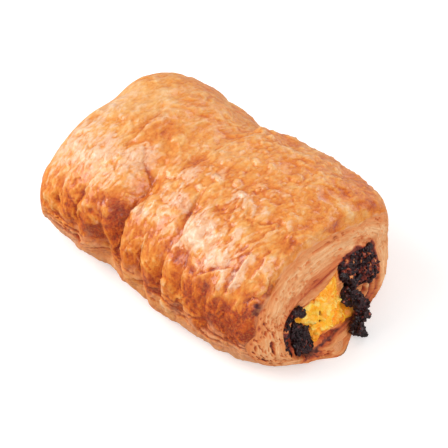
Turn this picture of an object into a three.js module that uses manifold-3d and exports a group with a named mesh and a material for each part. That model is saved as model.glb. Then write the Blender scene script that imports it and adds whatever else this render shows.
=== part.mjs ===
// A chocolate cream roll: flaky dough rolled round two strands of chocolate, with custard cream
// between them, baked on its flat base. One end shows the filling, with a chunk of chocolate that
// has burst out over the lower lip.
//
// Millimetres. X runs along the roll, towards the end with the burst chunk. Y runs across it, Z up.
// A place on the skin is given by x and by an angle round the roll in degrees: 0 is +Y, 90 the top,
// 180 -Y and 270 the base.

import * as THREE from 'three';
import { mergeVertices } from 'three/addons/utils/BufferGeometryUtils.js';
import Module from 'manifold-3d';

// Driving sizes of the whole roll.
const LENGTH = 113;
const WIDTH = 75;
const HEIGHT = 48;
const WIDEST_AT = 0.43; // height of the widest line, as a share of the roll's height
const GAP = 0.3; // left between the dough and each filling
const FLATTEN = 1.05; // pushes the underside this far past the table, which then cuts it flat

// How square the roll's section is, above and below its widest line: 2 is an ellipse.
const MIDDLE_SECTION = { top: 2.45, bottom: 3.3 };

// The two ends. width and height are the share of the roll's own left at the end's edge, run is
// the length over which it narrows, and back is how far the edge of the crust lies behind the tip.
const NEAR = {
  side: 1, inset: 2, width: 0.81, height: 0.81, run: 28, section: { top: 2.1, bottom: 2.3 },
  back: { top: 9.5, side: 9.5, bottom: -0.4 }, twist: 2.5, bulge: 1.4,
  face: { x: 57.5, lean: 0.26 },
};
const FAR = {
  side: -1, inset: 4, width: 0.89, height: 0.81, run: 24, section: { top: 2.2, bottom: 2.6 },
  back: { top: 5.5, side: 5, bottom: 0.8 }, twist: 0, bulge: 2.2,
  face: { x: 55.5, lean: 0.12 },
};

// The lower lip of the near end: a lobe that lies forward, and the seam where the chunk burst out.
const LIP_LOBE = { angle: 264, reach: 10, forward: 4.6 };
const LIP_SEAM = { angle: 284, reach: 9, forward: -2.2 };

// A ring-shaped waist between the two puffs.
const WAIST = { x: -6, long: 9, share: 0.035 };

// Broad swellings (high above 0) and hollows (high below 0) of the skin.
const SWELLINGS = [
  { x: -48, angle: 45, long: 12, round: 30, high: 0.9 },
  { x: -26, angle: 45, long: 12, round: 30, high: -0.9 },
  { x: -11, angle: 42, long: 9, round: 32, high: -1.8 },
  { x: 20, angle: 38, long: 18, round: 30, high: 1.0 },
  { x: 42, angle: 30, long: 10, round: 30, high: 1.0 },
  { x: -32, angle: 215, long: 14, round: 30, high: -0.7 },
  { x: 6, angle: 215, long: 13, round: 30, high: 1.7 },
  { x: -54, angle: 60, long: 9, round: 22, high: 0.9 },
  { x: -54, angle: 140, long: 9, round: 22, high: -0.7 },
  { x: 54, angle: 302, long: 9, round: 22, high: -4.5 },
  { x: 56, angle: 348, long: 10, round: 36, high: -4.2 },
  { x: 54, angle: 228, long: 9, round: 16, high: -1.2 },
];

// Creases that cross the roll, where one fold of dough overlaps the next. lean is how far a crease
// drifts along the roll for each degree round it, and steep narrows its side towards the near end.
const CREASES = [
  { x: -10, angle: 152, lean: 0.03, wide: 4.5, steep: 0.45, round: 42, deep: 3.6 },
  { x: -7, angle: 122, lean: 0.16, wide: 5, steep: 0.5, round: 13, deep: 2.0 },
  { x: 9, angle: 118, lean: 0.22, wide: 3.6, steep: 0.6, round: 16, deep: 2.0 },
  { x: 0.5, angle: 172, lean: 0, wide: 3, steep: 0.8, round: 28, deep: 1.9 },
  { x: 10, angle: 176, lean: -0.02, wide: 3, steep: 0.8, round: 26, deep: 1.7 },
  { x: 20, angle: 172, lean: 0.03, wide: 3, steep: 0.8, round: 24, deep: 1.5 },
  { x: 30, angle: 174, lean: 0.02, wide: 3, steep: 0.8, round: 22, deep: 1.2 },
  { x: 39, angle: 176, lean: 0, wide: 3, steep: 0.8, round: 18, deep: 0.8 },
  { x: -20, angle: 170, lean: 0.04, wide: 3, steep: 0.8, round: 24, deep: 1.5 },
  { x: -30, angle: 168, lean: -0.05, wide: 3, steep: 0.8, round: 26, deep: 1.6 },
  { x: -39, angle: 170, lean: -0.04, wide: 3, steep: 0.8, round: 22, deep: 1.2 },
  { x: -28, angle: 94, lean: 0.1, wide: 2.6, steep: 0.6, round: 11, deep: 1.0 },
  { x: -4, angle: 45, lean: -0.1, wide: 4, steep: 0.6, round: 26, deep: 1.4 },
  { x: 10, angle: 40, lean: -0.08, wide: 3, steep: 0.7, round: 20, deep: 0.9 },
];

// The mouth: the outline inside which the inner dough and the fillings show, at both ends.
const MOUTH = { y: -0.7, z: 16.3, halfWidth: 22.9, halfHeight: 11.1, power: 3.4, tilt: 5, recess: 1.2 };

// The fillings' sections, which run the whole length of the roll. proud is how far each stands out
// of the end's face at its middle.
const CREAM = { y: -3.4, z: 13.8, halfWidth: 8, halfHeight: 9.3, power: 3.2, tilt: 4, proud: 0.4 };
const CHOCOLATE_LEFT = { y: -17.6, z: 14, halfWidth: 5.9, halfHeight: 8.9, power: 2.3, tilt: 0, proud: 2 };
const CHOCOLATE_RIGHT = {
  y: 13.9, z: 20.2, halfWidth: 8.2, halfHeight: 7.8, power: 2.3, tilt: 0, proud: 1.6,
};

// The chunk of chocolate that has burst out of the seam: lumps that run into each other, from the
// right-hand strand down over the lower lip.
const CHUNK = [
  { x: 51.5, y: 6.4, z: 17, radius: 4.1 },
  { x: 54.4, y: 8.8, z: 12.8, radius: 4.4 },
  { x: 57.2, y: 8.6, z: 8.4, radius: 4.2 },
  { x: 59.2, y: 7.4, z: 5.2, radius: 3.6 },
  { x: 60.9, y: 6.8, z: 3.4, radius: 2.7 },
];

// How the crust's edge swings back from the side to the top and to the base: above 1 it stays near
// the side's line for longer. The band bends forward from that edge as fast as FORWARD_POWER says.
const EDGE_POWER = { up: 1.5, down: 1.2 };
const FORWARD_POWER = 3;

// The rings of inner dough behind the mouth's rim: how far in towards its middle each lies, as a share.
const INNER_RINGS = [0.08, 0.33];

// Waves on a filling's faces: how many go round it, and how high they are as a share.
const FACE_WAVES = { count: 3, high: 0.25 };

// Waves on the chunk's lumps, across and up each lump, and how high they are as a share.
const LUMP_WAVES = { across: 5, up: 4, high: 0.12 };

// How far past both ends the tunnels for the fillings are cut.
const TUNNEL_REACH = 12;

// Fineness of the solids.
const COLUMNS = 60;
const SKIN_ROWS = 44;
const BAND_ROWS = 4;
const FILLING_COLUMNS = 26;
const DOME_ROWS = 3;
const LUMP_DETAIL = 1;

const mix = (from, to, share) => from + (to - from) * share;
const clamp = (value, low, high) => Math.min(Math.max(value, low), high);
const smooth = (share) => share * share * (3 - 2 * share);
const quarterRound = (share) => Math.sqrt(1 - (1 - share) ** 2);
const bell = (distance) => Math.exp(-(distance ** 2));
const signedPower = (value, power) => Math.sign(value) * Math.abs(value) ** power;
const turnBetween = (angle, centre) => ((((angle - centre + 180) % 360) + 360) % 360) - 180;

// A point on a superellipse whose upper and lower halves may differ in height and squareness.
function superellipse(angle, halfWidth, above, below, powerTop, powerBottom) {
  const cos = Math.cos(THREE.MathUtils.degToRad(angle));
  const sin = Math.sin(THREE.MathUtils.degToRad(angle));
  const power = 2 / (sin >= 0 ? powerTop : powerBottom);
  return { y: halfWidth * signedPower(cos, power), z: (sin >= 0 ? above : below) * signedPower(sin, power) };
}

// Height of all swellings, the creases and the waist apart, at a place on the skin.
function swell(x, angle) {
  return SWELLINGS.reduce((sum, s) => {
    const along = (x - s.x) / s.long;
    const round = turnBetween(angle, s.angle) / s.round;
    return sum + s.high * bell(Math.hypot(along, round));
  }, 0);
}

// Depth of all creases at a place on the skin: each is a valley with one steeper side.
function crease(x, angle) {
  return CREASES.reduce((sum, c) => {
    const turn = turnBetween(angle, c.angle);
    const offset = x - (c.x + c.lean * turn);
    const width = offset > 0 ? c.wide * c.steep : c.wide;
    return sum + c.deep * bell(offset / width) * bell(turn / c.round);
  }, 0);
}

// How far a place is from an end's narrowing: 0 at the end's edge, 1 where the roll is full.
function fullness(x, end) {
  return clamp((LENGTH / 2 - end.inset - end.side * x) / end.run, 0, 1);
}

// The skin's section at x: a superellipse that shrinks at both ends, with swellings and creases
// added outwards from the roll's axis. The table cuts the underside flat at z = 0.
function skinPoint(x, angle) {
  const near = fullness(x, NEAR);
  const far = fullness(x, FAR);
  const waist = 1 - WAIST.share * bell((x - WAIST.x) / WAIST.long);
  const share = (key) => waist * mix(NEAR[key], 1, quarterRound(near)) * mix(FAR[key], 1, quarterRound(far));
  const power = (key) => MIDDLE_SECTION[key]
    + (NEAR.section[key] - MIDDLE_SECTION[key]) * (1 - smooth(near))
    + (FAR.section[key] - MIDDLE_SECTION[key]) * (1 - smooth(far));
  const height = HEIGHT * share('height');
  const widest = WIDEST_AT * height;
  const section = superellipse(
    angle, (WIDTH / 2) * share('width'), height - widest, widest * FLATTEN, power('top'), power('bottom'),
  );
  const outwards = swell(x, angle) - crease(x, angle);
  const turn = THREE.MathUtils.degToRad(angle);
  return new THREE.Vector3(
    x, section.y + outwards * Math.cos(turn), Math.max(section.z + widest + outwards * Math.sin(turn), 0),
  );
}

// Where the crust ends along the roll, at an angle round it.
function edgeX(angle, end) {
  const cos = Math.cos(THREE.MathUtils.degToRad(angle));
  const sin = Math.sin(THREE.MathUtils.degToRad(angle));
  const up = Math.max(sin, 0);
  const down = Math.max(-sin, 0);
  const { top, side, bottom } = end.back;
  const back = side + (top - side) * up ** EDGE_POWER.up + (bottom - side) * down ** EDGE_POWER.down
    - end.twist * cos * up;
  const lip = (part) => part.forward * bell(turnBetween(angle, part.angle) / part.reach);
  return end.side * (LENGTH / 2 - back + (end === NEAR ? lip(LIP_LOBE) + lip(LIP_SEAM) : 0));
}

// The leaning plane of an end's face.
const faceX = (z, end) => end.side * (end.face.x - end.face.lean * z);

// A point on the outline of the mouth or of a filling, in the section plane.
function outlinePoint(shape, angle, grow = 0) {
  const { y, z } = superellipse(
    angle, shape.halfWidth + grow, shape.halfHeight + grow, shape.halfHeight + grow, shape.power, shape.power,
  );
  const tilt = THREE.MathUtils.degToRad(shape.tilt);
  return {
    y: shape.y + y * Math.cos(tilt) - z * Math.sin(tilt),
    z: shape.z + y * Math.sin(tilt) + z * Math.cos(tilt),
  };
}

// An end's rows, from the edge of the crust over the pale band to the mouth's rim, then a step back
// and inwards. The band starts at the crust's edge and bulges forward to the end's face.
function endRows(end) {
  const rows = [];
  const row = (share, inner, recess) => Array.from({ length: COLUMNS }, (_, column) => {
    const angle = (360 * column) / COLUMNS;
    const edge = skinPoint(edgeX(angle, end), angle);
    const rim = outlinePoint(MOUTH, angle);
    const y = mix(mix(edge.y, rim.y, share), MOUTH.y, inner);
    const z = mix(mix(edge.z, rim.z, share), MOUTH.z, inner);
    const behind = (edge.x - faceX(edge.z, end)) * (1 - share) ** FORWARD_POWER;
    const bulge = end.side * (end.bulge * Math.sin(Math.PI * share) - recess);
    return new THREE.Vector3(faceX(z, end) + behind + bulge, y, z);
  });
  for (let i = 1; i <= BAND_ROWS; i += 1) rows.push(row(i / BAND_ROWS, 0, 0));
  INNER_RINGS.forEach((inner) => rows.push(row(1, inner, MOUTH.recess)));
  return rows;
}

// A closed geometry from rings of points, ordered from the +X end to the -X end, with a pole at each.
function closedGeometry(rings, firstPole, lastPole) {
  const count = rings[0].length;
  const points = [firstPole, ...rings.flat(), lastPole];
  const last = points.length - 1;
  const at = (ring, column) => 1 + ring * count + (column % count);
  const index = [];
  for (let column = 0; column < count; column += 1) {
    index.push(0, at(0, column), at(0, column + 1));
    index.push(last, at(rings.length - 1, column + 1), at(rings.length - 1, column));
    for (let ring = 0; ring + 1 < rings.length; ring += 1) {
      const [a, b] = [at(ring, column), at(ring, column + 1)];
      const [c, d] = [at(ring + 1, column), at(ring + 1, column + 1)];
      index.push(a, c, b, b, c, d);
    }
  }
  const geometry = new THREE.BufferGeometry().setFromPoints(points);
  geometry.setIndex(index);
  return geometry;
}

// The whole roll without its tunnels: the near end's rows, the skin and the far end's rows.
function rollGeometry() {
  const skin = Array.from({ length: SKIN_ROWS + 1 }, (_, step) => (
    Array.from({ length: COLUMNS }, (__, column) => {
      const angle = (360 * column) / COLUMNS;
      return skinPoint(mix(edgeX(angle, NEAR), edgeX(angle, FAR), step / SKIN_ROWS), angle);
    })
  ));
  const rings = [...endRows(NEAR).reverse(), ...skin, ...endRows(FAR)];
  const pole = (end) => new THREE.Vector3(faceX(MOUTH.z, end) - end.side * MOUTH.recess, MOUTH.y, MOUTH.z);
  return closedGeometry(rings, pole(NEAR), pole(FAR));
}

// A filling that runs through the roll, with a domed, lumpy face at each end. Grown, and reaching
// past both ends, it is the tunnel that the filling lies in.
function fillingGeometry(shape, grow, reach) {
  const dome = (end) => Array.from({ length: DOME_ROWS }, (_, step) => {
    const turn = ((Math.PI / 2) * (step + 1)) / DOME_ROWS;
    return Array.from({ length: FILLING_COLUMNS }, (__, column) => {
      const angle = (360 * column) / FILLING_COLUMNS;
      const edge = outlinePoint(shape, angle, grow);
      const y = mix(shape.y, edge.y, Math.sin(turn));
      const z = mix(shape.z, edge.z, Math.sin(turn));
      const wave = Math.sin(FACE_WAVES.count * THREE.MathUtils.degToRad(angle) + shape.y);
      const lump = 1 + FACE_WAVES.high * wave;
      const proud = (shape.proud + MOUTH.recess) * Math.cos(turn) * lump - MOUTH.recess + reach;
      return new THREE.Vector3(faceX(z, end) + end.side * proud, y, z);
    });
  });
  const tip = (end) => faceX(shape.z, end) + end.side * (shape.proud + reach);
  const pole = (end) => new THREE.Vector3(tip(end), shape.y, shape.z);
  return closedGeometry([...dome(NEAR), ...dome(FAR).reverse()], pole(NEAR), pole(FAR));
}

// One lump of the burst chunk: a ball whose surface is pushed in and out.
function lumpGeometry(lump, grow) {
  const geometry = new THREE.IcosahedronGeometry(1, LUMP_DETAIL);
  const position = geometry.attributes.position;
  const point = new THREE.Vector3();
  for (let i = 0; i < position.count; i += 1) {
    point.fromBufferAttribute(position, i);
    const across = Math.sin(LUMP_WAVES.across * point.y + lump.x);
    const up = Math.sin(LUMP_WAVES.up * point.z + lump.y);
    const uneven = 1 + LUMP_WAVES.high * across * up;
    point.multiplyScalar(lump.radius * uneven + grow);
    position.setXYZ(i, point.x + lump.x, point.y + lump.y, point.z + lump.z);
  }
  return geometry;
}

const wasm = await Module();
wasm.setup();

function toSolid(geometry) {
  const bare = geometry.clone();
  bare.deleteAttribute('normal');
  bare.deleteAttribute('uv');
  const merged = mergeVertices(bare);
  return new wasm.Manifold(new wasm.Mesh({
    numProp: 3,
    vertProperties: new Float32Array(merged.attributes.position.array),
    triVerts: new Uint32Array(merged.index.array),
  }));
}

function toMesh(solid, name, material) {
  const { vertProperties, triVerts } = solid.getMesh();
  const geometry = new THREE.BufferGeometry();
  geometry.setAttribute('position', new THREE.BufferAttribute(vertProperties, 3));
  geometry.setIndex(new THREE.BufferAttribute(triVerts, 1));
  geometry.computeVertexNormals();
  const mesh = new THREE.Mesh(geometry, material);
  mesh.name = name;
  return mesh;
}

const filling = (shape) => toSolid(fillingGeometry(shape, 0, 0));
const tunnel = (shape) => toSolid(fillingGeometry(shape, GAP, TUNNEL_REACH));
const chunk = (grow) => CHUNK.map((lump) => toSolid(lumpGeometry(lump, grow))).reduce((a, b) => a.add(b));

const chunkHollow = chunk(GAP);
const dough = [CREAM, CHOCOLATE_LEFT, CHOCOLATE_RIGHT].map(tunnel)
  .reduce((solid, hole) => solid.subtract(hole), toSolid(rollGeometry()))
  .subtract(chunkHollow);

const pastryFinish = new THREE.MeshStandardMaterial({ color: '#e6a268', roughness: 0.5, metalness: 0 });
const creamFinish = new THREE.MeshStandardMaterial({ color: '#efb338', roughness: 0.45, metalness: 0 });
const chocolateFinish = new THREE.MeshStandardMaterial({ color: '#33201d', roughness: 0.55, metalness: 0 });

const roll = new THREE.Group();
roll.add(
  toMesh(dough, 'pastry', pastryFinish),
  toMesh(filling(CREAM).subtract(chunkHollow), 'cream', creamFinish),
  toMesh(filling(CHOCOLATE_LEFT), 'chocolate_left', chocolateFinish),
  toMesh(filling(CHOCOLATE_RIGHT).add(chunk(0)), 'chocolate_right', chocolateFinish),
);

// The frame's origin is under the middle of the roll, on the surface it lies on.
const middle = new THREE.Box3().setFromObject(roll).getCenter(new THREE.Vector3());
roll.position.set(-middle.x, -middle.y, 0);

export default roll;
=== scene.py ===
# %% [markdown]
# # A chocolate cream roll
# Flaky dough is rolled round two strands of chocolate with custard cream between them, glazed with
# egg and baked on a tray. One end shows the filling, and a chunk of chocolate has burst out of a
# seam and hangs over the lower lip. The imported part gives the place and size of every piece, and
# each looks piece here is a surface worked out from formulas, so that any of its folds can be moved
# by changing one number. All shaping is done in millimetres and goes into the meshes in metres.

import bpy
import numpy as np
from mathutils import Matrix, Vector


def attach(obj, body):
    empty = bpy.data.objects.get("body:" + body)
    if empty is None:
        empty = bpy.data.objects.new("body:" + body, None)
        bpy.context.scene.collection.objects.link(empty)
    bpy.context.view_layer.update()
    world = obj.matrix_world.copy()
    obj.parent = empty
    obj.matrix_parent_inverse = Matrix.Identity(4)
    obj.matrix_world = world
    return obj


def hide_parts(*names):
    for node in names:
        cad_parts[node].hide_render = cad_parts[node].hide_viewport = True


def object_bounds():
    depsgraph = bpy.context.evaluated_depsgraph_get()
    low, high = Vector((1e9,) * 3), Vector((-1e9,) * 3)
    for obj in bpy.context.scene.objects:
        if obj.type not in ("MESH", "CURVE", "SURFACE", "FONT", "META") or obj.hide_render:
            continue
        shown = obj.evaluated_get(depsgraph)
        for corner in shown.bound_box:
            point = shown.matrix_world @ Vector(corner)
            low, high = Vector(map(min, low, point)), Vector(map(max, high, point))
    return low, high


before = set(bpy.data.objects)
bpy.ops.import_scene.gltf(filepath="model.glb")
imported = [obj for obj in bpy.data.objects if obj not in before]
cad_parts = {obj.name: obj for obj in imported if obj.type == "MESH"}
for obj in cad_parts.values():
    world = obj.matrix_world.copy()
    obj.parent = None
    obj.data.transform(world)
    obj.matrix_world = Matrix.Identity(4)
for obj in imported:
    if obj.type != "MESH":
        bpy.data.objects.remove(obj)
cad_low, cad_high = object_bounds()
MM = 0.001
print("the packed part measures", [round((high - low) / MM, 1) for low, high in zip(cad_low, cad_high)])

# %% [markdown]
# ## Sizes
# The roll is a squarish tube that narrows at both ends. Its broad swellings and creases are listed
# with a place along the roll and an angle round it: 0 is +Y, 90 the top, 180 -Y and 270 the base.
# These are the same driving sizes that the solid part has, so the crust lands on the solid dough.

# %% Driving sizes of the roll
LENGTH = 113
WIDTH = 75
HEIGHT = 48
WIDEST_AT = 0.43
FLATTEN = 1.05
MIDDLE_SECTION = {"top": 2.45, "bottom": 3.3}
WAIST = {"x": -6, "long": 9, "share": 0.035}

# Each end begins to narrow a run before its inset, to a share of the full width and height, and its
# section has corner powers of its own. The crust stops some way back on top, at the sides and at
# the bottom, with lips that reach forward (angle, reach round, height). The pale band bulges before
# a leaning face, less so round two angles (angle, reach round, loss).
NEAR = {
    "side": 1, "inset": 2, "run": 28, "width": 0.81, "height": 0.81,
    "section": {"top": 2.1, "bottom": 2.3}, "back": {"top": 9.5, "side": 9.5, "bottom": -0.4},
    "twist": 2.5, "bulge": 1.4, "face_x": 57.5, "lean": 0.26, "lips": ((264, 10, 4.6), (284, 9, -2.2)),
    "flat": (356, 24, 2.6), "low": (210, 22, 2.0),
}
FAR = {
    "side": -1, "inset": 4, "run": 24, "width": 0.89, "height": 0.81,
    "section": {"top": 2.2, "bottom": 2.6}, "back": {"top": 5.5, "side": 5, "bottom": 0.8},
    "twist": 0, "bulge": 2.2, "face_x": 55.5, "lean": 0.12, "lips": (),
    "flat": (0, 24, 0.0), "low": (212, 20, 0.0),
}

# Broad swellings and hollows: x, angle, length along, reach round, height.
SWELLINGS = (
    (-48, 45, 12, 30, 0.9), (-26, 45, 12, 30, -0.9), (-11, 42, 9, 32, -1.8), (20, 38, 18, 30, 1.0),
    (42, 30, 10, 30, 1.0), (-32, 215, 14, 30, -0.7), (6, 215, 13, 30, 1.7), (-54, 60, 9, 22, 0.9),
    (-54, 140, 9, 22, -0.7), (54, 302, 9, 22, -5.2), (56, 348, 10, 36, -5.0), (54, 228, 9, 16, -1.2),
    (-19.5, 192, 5, 20, -4.6), (-1, 196, 4, 14, -1.2), (15, 193, 7, 14, -1.3), (-50, 93, 6, 8, -1.0),
    (-50, 70, 6, 8, 0.6), (-22, 33, 9, 14, -1.9), (-11, 202, 3, 10, 1.4), (-1.5, 53, 2.4, 7, 1.0),
    (12, 48, 6, 12, -2.6), (31, 44, 7, 10, -1.8), (44, 32, 6, 10, 0.8), (-4, 196, 3, 14, -0.8),
    (-49, 86, 4.5, 6, -1.2), (-43, 75, 5, 6, 0.5),
)

# Creases across the roll: x, angle, lean, width, steepness of the near side, reach round, depth.
CREASES = (
    (-11, 150, 0.03, 5.2, 0.4, 40, 4.6), (-8.5, 122, 0.16, 5, 0.4, 13, 2.8),
    (9, 118, 0.22, 3.6, 0.6, 16, 2.0), (0.5, 172, 0, 3, 0.8, 28, 1.9),
    (10, 176, -0.02, 3, 0.8, 26, 1.7), (20, 170, 0.03, 3, 0.8, 22, 1.1),
    (30, 170, 0.02, 3, 0.8, 18, 0.7), (39, 172, 0, 3, 0.8, 16, 0.4),
    (-20, 170, 0.04, 3, 0.8, 24, 1.5), (-30, 168, -0.05, 3, 0.8, 26, 1.6),
    (-39, 170, -0.04, 3, 0.8, 22, 1.2), (-28, 94, 0.1, 2.6, 0.6, 11, 1.0),
    (-4, 45, -0.1, 4, 0.6, 26, 1.4), (10, 40, -0.08, 3, 0.7, 20, 0.9),
)

# The mouth's rim is a tilted, full-cornered ellipse, and the inner dough lies back behind the face.
MOUTH = {"y": -0.7, "z": 16.3, "wide": 22.9, "high": 11.1, "power": 3.4, "tilt": 5}
RECESS = 1.2

# %% [markdown]
# ## The bare form
# A superellipse is an ellipse whose corners can be made fuller. The roll's section is one, wide at
# the base and rounder on top, and it shrinks towards both ends like a quarter circle. Swellings are
# added and creases taken away along the spoke that points outwards from the roll's middle. The
# table then cuts the underside flat.

# %% Small shaping functions
def mix(low, high, share):
    """The value that lies the given share of the way from low to high."""
    return low + (high - low) * share


def smooth(low, high, value):
    """Rises from 0 at low to 1 at high with level ends."""
    share = np.clip((value - low) / (high - low), 0, 1)
    return share * share * (3 - 2 * share)


def between(start, full, fading, gone, value):
    """Rises from 0 at start to 1 at full, and falls back to 0 from fading to gone."""
    return smooth(start, full, value) * smooth(gone, fading, value)


def bell(distance):
    """A bell curve: 1 at a distance of 0, and 0.37 at a distance of 1."""
    return np.exp(-np.square(distance))


def cosine(angle):
    """The cosine of an angle in degrees."""
    return np.cos(np.radians(angle))


def sine(angle):
    """The sine of an angle in degrees."""
    return np.sin(np.radians(angle))


def turn_between(angle, centre):
    """The turn from one angle to another in degrees, between -180 and 180."""
    return (angle - centre + 180) % 360 - 180


def length_of(vectors):
    """The lengths of an array of vectors, whose last axis holds their coordinates."""
    return np.linalg.norm(vectors, axis=-1, keepdims=True)


def unit(vectors):
    """Each vector divided by its own length."""
    return vectors / np.maximum(length_of(vectors), 1e-9)


# %% The skin without its fine relief
def superellipse(angle, wide, above, below, power_top, power_bottom):
    """A point at an angle on a full-cornered ellipse: each coordinate is a power of sine or cosine."""
    across = cosine(angle)
    up = sine(angle)
    power = 2 / np.where(up >= 0, power_top, power_bottom)
    high = np.where(up >= 0, above, below)
    return wide * np.sign(across) * np.abs(across) ** power, high * np.sign(up) * np.abs(up) ** power


def pushed_out(x, angle):
    """How far, in mm, the swellings push the skin outwards and the creases pull it in. A crease is
    steeper on its near side, so each half of its bell has its own width."""
    outwards = 0
    for place, turn, long, reach, high in SWELLINGS:
        outwards = outwards + high * bell(np.hypot((x - place) / long, turn_between(angle, turn) / reach))
    for place, turn, lean, wide, steep, reach, deep in CREASES:
        away = turn_between(angle, turn)
        along = x - (place + lean * away)
        valley = bell(along / np.where(along > 0, wide * steep, wide))
        outwards = outwards - deep * valley * bell(away / reach)
    return outwards


def skin(x, angle):
    """The roll's smooth skin at x and angle: a section that narrows as sqrt(1 - (1 - u)^2) towards
    each end, pushed outwards along its spoke, cut flat at the table."""
    width = 1 - WAIST["share"] * bell((x - WAIST["x"]) / WAIST["long"])
    height = width
    top = MIDDLE_SECTION["top"]
    bottom = MIDDLE_SECTION["bottom"]
    for end in (NEAR, FAR):
        full = np.clip((LENGTH / 2 - end["inset"] - end["side"] * x) / end["run"], 0, 1)
        rounded = np.sqrt(1 - (1 - full) ** 2)
        width = width * mix(end["width"], 1, rounded)
        height = height * mix(end["height"], 1, rounded)
        square = 1 - smooth(0, 1, full)
        top = top + (end["section"]["top"] - MIDDLE_SECTION["top"]) * square
        bottom = bottom + (end["section"]["bottom"] - MIDDLE_SECTION["bottom"]) * square
    widest = WIDEST_AT * HEIGHT * height
    above = HEIGHT * height - widest
    y, z = superellipse(angle, WIDTH / 2 * width, above, widest * FLATTEN, top, bottom)
    outwards = pushed_out(x, angle)
    y = y + outwards * cosine(angle)
    z = np.maximum(z + widest + outwards * sine(angle), 0)
    return np.stack(np.broadcast_arrays(x, y, z), axis=-1)


def edge_x(angle, end):
    """Where the crust stops along the roll: a wavy line that lies further back on top."""
    up = np.maximum(sine(angle), 0)
    down = np.maximum(-sine(angle), 0)
    back = end["back"]
    line = back["side"] + (back["top"] - back["side"]) * up ** 1.5
    line = line + (back["bottom"] - back["side"]) * down ** 1.2
    line = line - end["twist"] * cosine(angle) * up
    reach = sum(forward * bell(turn_between(angle, turn) / wide) for turn, wide, forward in end["lips"])
    return end["side"] * (LENGTH / 2 - line + reach)


# %% The smooth end face
def face_x(z, end):
    """The leaning plane of an end's face."""
    return end["side"] * (end["face_x"] - end["lean"] * z)


def mouth_rim(angle):
    """The mouth's rim in the section plane: a superellipse, tilted and put in its place."""
    high = MOUTH["high"]
    y, z = superellipse(angle, MOUTH["wide"], high, high, MOUTH["power"], MOUTH["power"])
    cos = cosine(MOUTH["tilt"])
    sin = sine(MOUTH["tilt"])
    return MOUTH["y"] + y * cos - z * sin, MOUTH["z"] + y * sin + z * cos


def end_band(share, angle, end):
    """The pale band between the crust's edge (share 0) and the mouth's rim (share 1): straight lines
    from edge to rim, pushed to the leaning face, with a bulge like half a sine wave."""
    edge = skin(edge_x(angle, end), angle)
    rim_y, rim_z = mouth_rim(angle)
    y = mix(edge[..., 1], rim_y, share)
    z = mix(edge[..., 2], rim_z, share)
    behind = (edge[..., 0] - face_x(edge[..., 2], end)) * (1 - share) ** 3
    bulge = end["bulge"]
    for turn, reach, loss in (end["flat"], end["low"]):
        bulge = bulge - loss * bell(turn_between(angle, turn) / reach)
    x = face_x(z, end) + behind + end["side"] * bulge * np.sin(np.pi * share)
    return np.stack([x, y, z], axis=-1)


# The solid dough has points every 6 degrees at four shares of the band, and it was moved along the
# roll when it was centred. Its lowest x shows by how much.
SOLID_ANGLES, SOLID_SHARES = np.meshgrid(np.arange(0, 360, 6), np.arange(1, 5) / 4)
SHIFT = np.array([cad_low.x / MM - end_band(SOLID_SHARES, SOLID_ANGLES, FAR)[..., 0].min(), 0, 0])
print("the formulas' x is moved by", SHIFT[0].round(3), "mm to meet the packed dough")

# %% [markdown]
# ## Noise
# Nothing on a baked roll repeats, so its relief is built on gradient noise: each corner of an
# invisible grid gets a random slope, and the slopes are blended in between. Clouds add up finer and
# finer noise. Ridges fold it over so that it rises to sharp crests, like crumpled skin. Cells
# measure the distance to scattered points, like crumbs that are packed together. All of it is
# worked out for whole arrays at once, from one fixed seed. A place divided by 9, say, gives bumps
# about 9 mm apart, and a last coordinate of its own gives each effect a pattern of its own.

# %% Gradient noise, clouds and ridges
RANDOM = np.random.default_rng(11)
SHUFFLE = RANDOM.permutation(256)
SLOPES = unit(RANDOM.normal(size=(256, 3)))
JITTER = RANDOM.random((256, 3))


def pick(i, j, k):
    """A fixed random number from 0 to 255 for a grid corner."""
    return SHUFFLE[(SHUFFLE[(SHUFFLE[i & 255] + j) & 255] + k) & 255]


def noise(a, b, c):
    """Gradient noise from about -1 to 1, whose bumps are about 1 apart."""
    a, b, c = np.broadcast_arrays(a, b, c)
    corner = [np.floor(value).astype(int) for value in (a, b, c)]
    inside = [value - low for value, low in zip((a, b, c), corner)]
    fade = [t * t * t * (t * (t * 6 - 15) + 10) for t in inside]
    total = np.zeros(a.shape)
    for step in np.ndindex(2, 2, 2):
        slope = SLOPES[pick(*(low + n for low, n in zip(corner, step)))]
        dot = sum(slope[..., n] * (inside[n] - step[n]) for n in range(3))
        weight = [f if n else 1 - f for f, n in zip(fade, step)]
        total += weight[0] * weight[1] * weight[2] * dot
    return total * 1.6


def cloud(a, b, c, layers=4):
    """Layers of noise, each twice as fine and half as strong as the one before."""
    return sum(noise(a * 2 ** n, b * 2 ** n, c * 2 ** n + 31 * n) / 2 ** n for n in range(layers))


def ridge(a, b, c, layers=3):
    """Folded noise with sharp crests: 1 on a crest, and near 0 between crests."""
    folded = [1 - np.abs(noise(a * 2 ** n, b * 2 ** n, c * 2 ** n + 31 * n)) for n in range(layers)]
    crests = sum(fold ** 2 / 2 ** n for n, fold in enumerate(folded))
    return crests / sum(0.5 ** n for n in range(layers))


# %% Cells and averaging
def cells(a, b, c):
    """The distance to the nearest of points that are scattered one to a grid cell."""
    a, b, c = np.broadcast_arrays(a, b, c)
    corner = [np.floor(value).astype(int) for value in (a, b, c)]
    nearest = np.full(a.shape, 9.0)
    for i, j, k in np.ndindex(3, 3, 3):
        cell = [corner[0] + i - 1, corner[1] + j - 1, corner[2] + k - 1]
        spot = JITTER[pick(*cell)]
        away = [value - low - spot[..., n] for n, (value, low) in enumerate(zip((a, b, c), cell))]
        nearest = np.minimum(nearest, np.sqrt(away[0] ** 2 + away[1] ** 2 + away[2] ** 2))
    return nearest


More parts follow.
